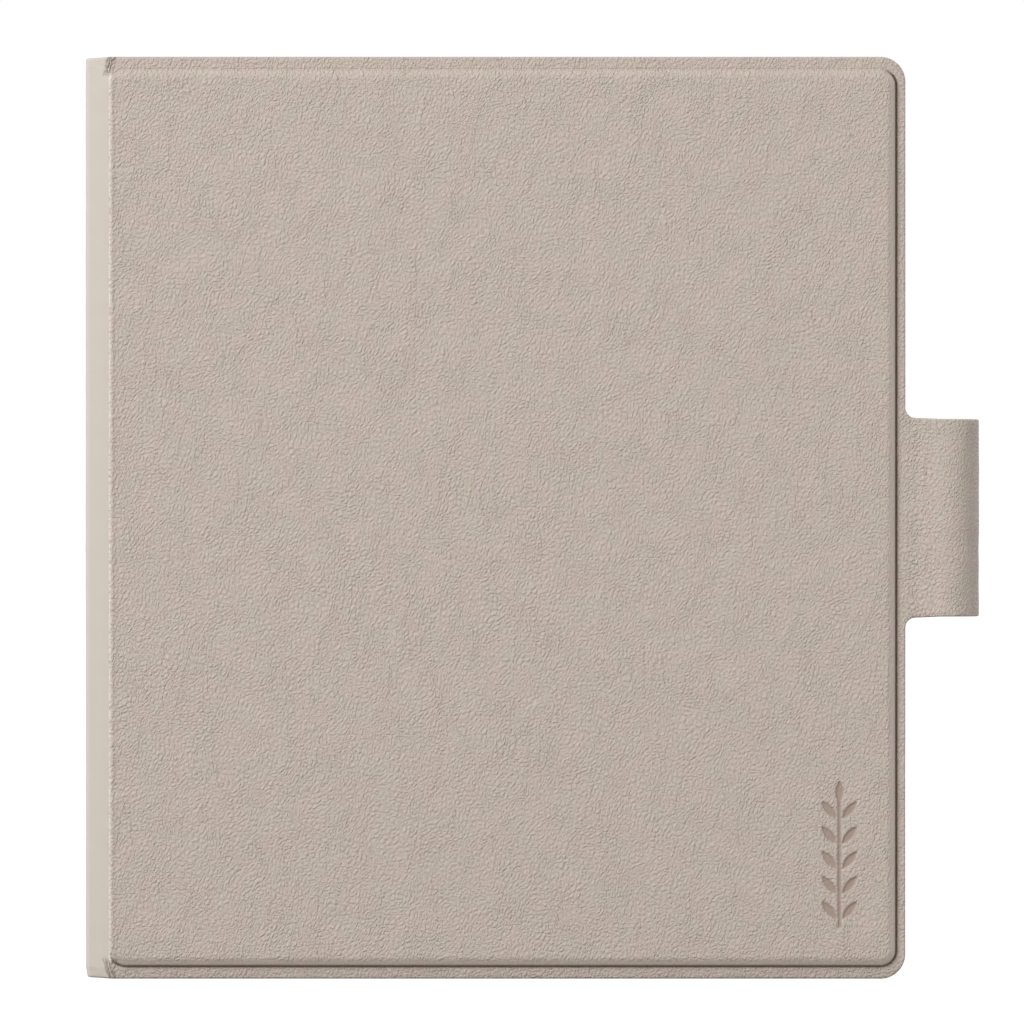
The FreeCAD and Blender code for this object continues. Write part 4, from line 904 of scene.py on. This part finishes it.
def floor_material():
    """A pale floor that looks evenly lit to the camera and throws only plain light on the object."""
    sh = Shader("studio_floor")
    tone = sh.mix(sh.noise(sh.place(), 0.01), (0.38, 0.38, 0.38, 1.0), (0.40, 0.40, 0.40, 1.0))
    matte = sh.node("ShaderNodeBsdfDiffuse", {"Color": tone}).outputs[0]
    glow = sh.node("ShaderNodeEmission", {"Color": WHITE, "Strength": FLOOR_GLOW}).outputs[0]
    lit = sh.node("ShaderNodeAddShader", {0: matte, 1: glow}).outputs[0]
    return sh.finish(sh.light_only(lit, matte))


def make_floor():
    """A wide square in metres, level with the cover's lower edge."""
    level = SKIN_LOW[2] * MM
    mesh = bpy.data.meshes.new("floor")
    turns = ((-1, -1), (1, -1), (1, 1), (-1, 1))
    corners = [(x * FLOOR_REACH, y * FLOOR_REACH, level) for x, y in turns]
    mesh.from_pydata(corners, [], [(0, 1, 2, 3)])
    mesh.materials.append(floor_material())
    floor = bpy.data.objects.new("floor", mesh)
    bpy.context.scene.collection.objects.link(floor)


def make_world():
    """White to the camera, a softer grey-white as light."""
    world = bpy.data.worlds.new("studio")
    bpy.context.scene.world = world
    world.use_nodes = True
    nodes, links = world.node_tree.nodes, world.node_tree.links
    nodes.clear()
    mix = nodes.new("ShaderNodeMixShader")
    for socket, strength in ((1, WORLD_LIGHT), (2, 1.0)):
        background = nodes.new("ShaderNodeBackground")
        background.inputs["Color"].default_value = WHITE
        background.inputs["Strength"].default_value = strength
        links.new(background.outputs[0], mix.inputs[socket])
    path = nodes.new("ShaderNodeLightPath")
    links.new(path.outputs["Is Camera Ray"], mix.inputs[0])
    output = nodes.new("ShaderNodeOutputWorld")
    links.new(mix.outputs[0], output.inputs["Surface"])


def make_softbox(name, position, size, power):
    """A round area light in metres and watts, aimed at the middle of the frame."""
    light = bpy.data.lights.new(name, "AREA")
    light.shape = "DISK"
    light.size = size
    light.energy = power
    lamp = bpy.data.objects.new(name, light)
    lamp.location = position
    aim = -np.array(position)
    lamp.rotation_mode = "QUATERNION"
    lamp.rotation_quaternion = Vector(aim).to_track_quat("-Z", "Y")
    bpy.context.scene.collection.objects.link(lamp)


VIEW_WIDTH = 177.9
VIEW_CENTRE = (1.6, 1.0)
LENS = 400.0
SENSOR = 36.0


def make_camera():
    """A long lens straight in front of the cover."""
    camera = bpy.data.cameras.new("camera")
    camera.lens = LENS
    camera.sensor_width = SENSOR
    camera.clip_start = 0.01
    camera.clip_end = 50.0
    holder = bpy.data.objects.new("camera", camera)
    away = VIEW_WIDTH * LENS / SENSOR
    holder.location = (VIEW_CENTRE[0] * MM, -(DEPTH + away) * MM, VIEW_CENTRE[1] * MM)
    holder.rotation_euler = (math.pi / 2, 0.0, 0.0)
    bpy.context.scene.collection.objects.link(holder)
    bpy.context.scene.camera = holder


# ---------------------------------------------------------------- the scene

slot_looks = slot_materials()
dress_frame(slot_looks)
make_cover(slot_looks)
make_floor()
make_world()
make_softbox("key", (-1.25, -1.1, 0.85), 0.75, 22.5)
make_softbox("fill", (1.2, -1.5, 0.2), 1.2, 7.0)
make_softbox("back", (0.9, 1.5, 0.8), 1.2, 9.0)
make_camera()
bpy.context.scene.view_settings.view_transform = "Standard"
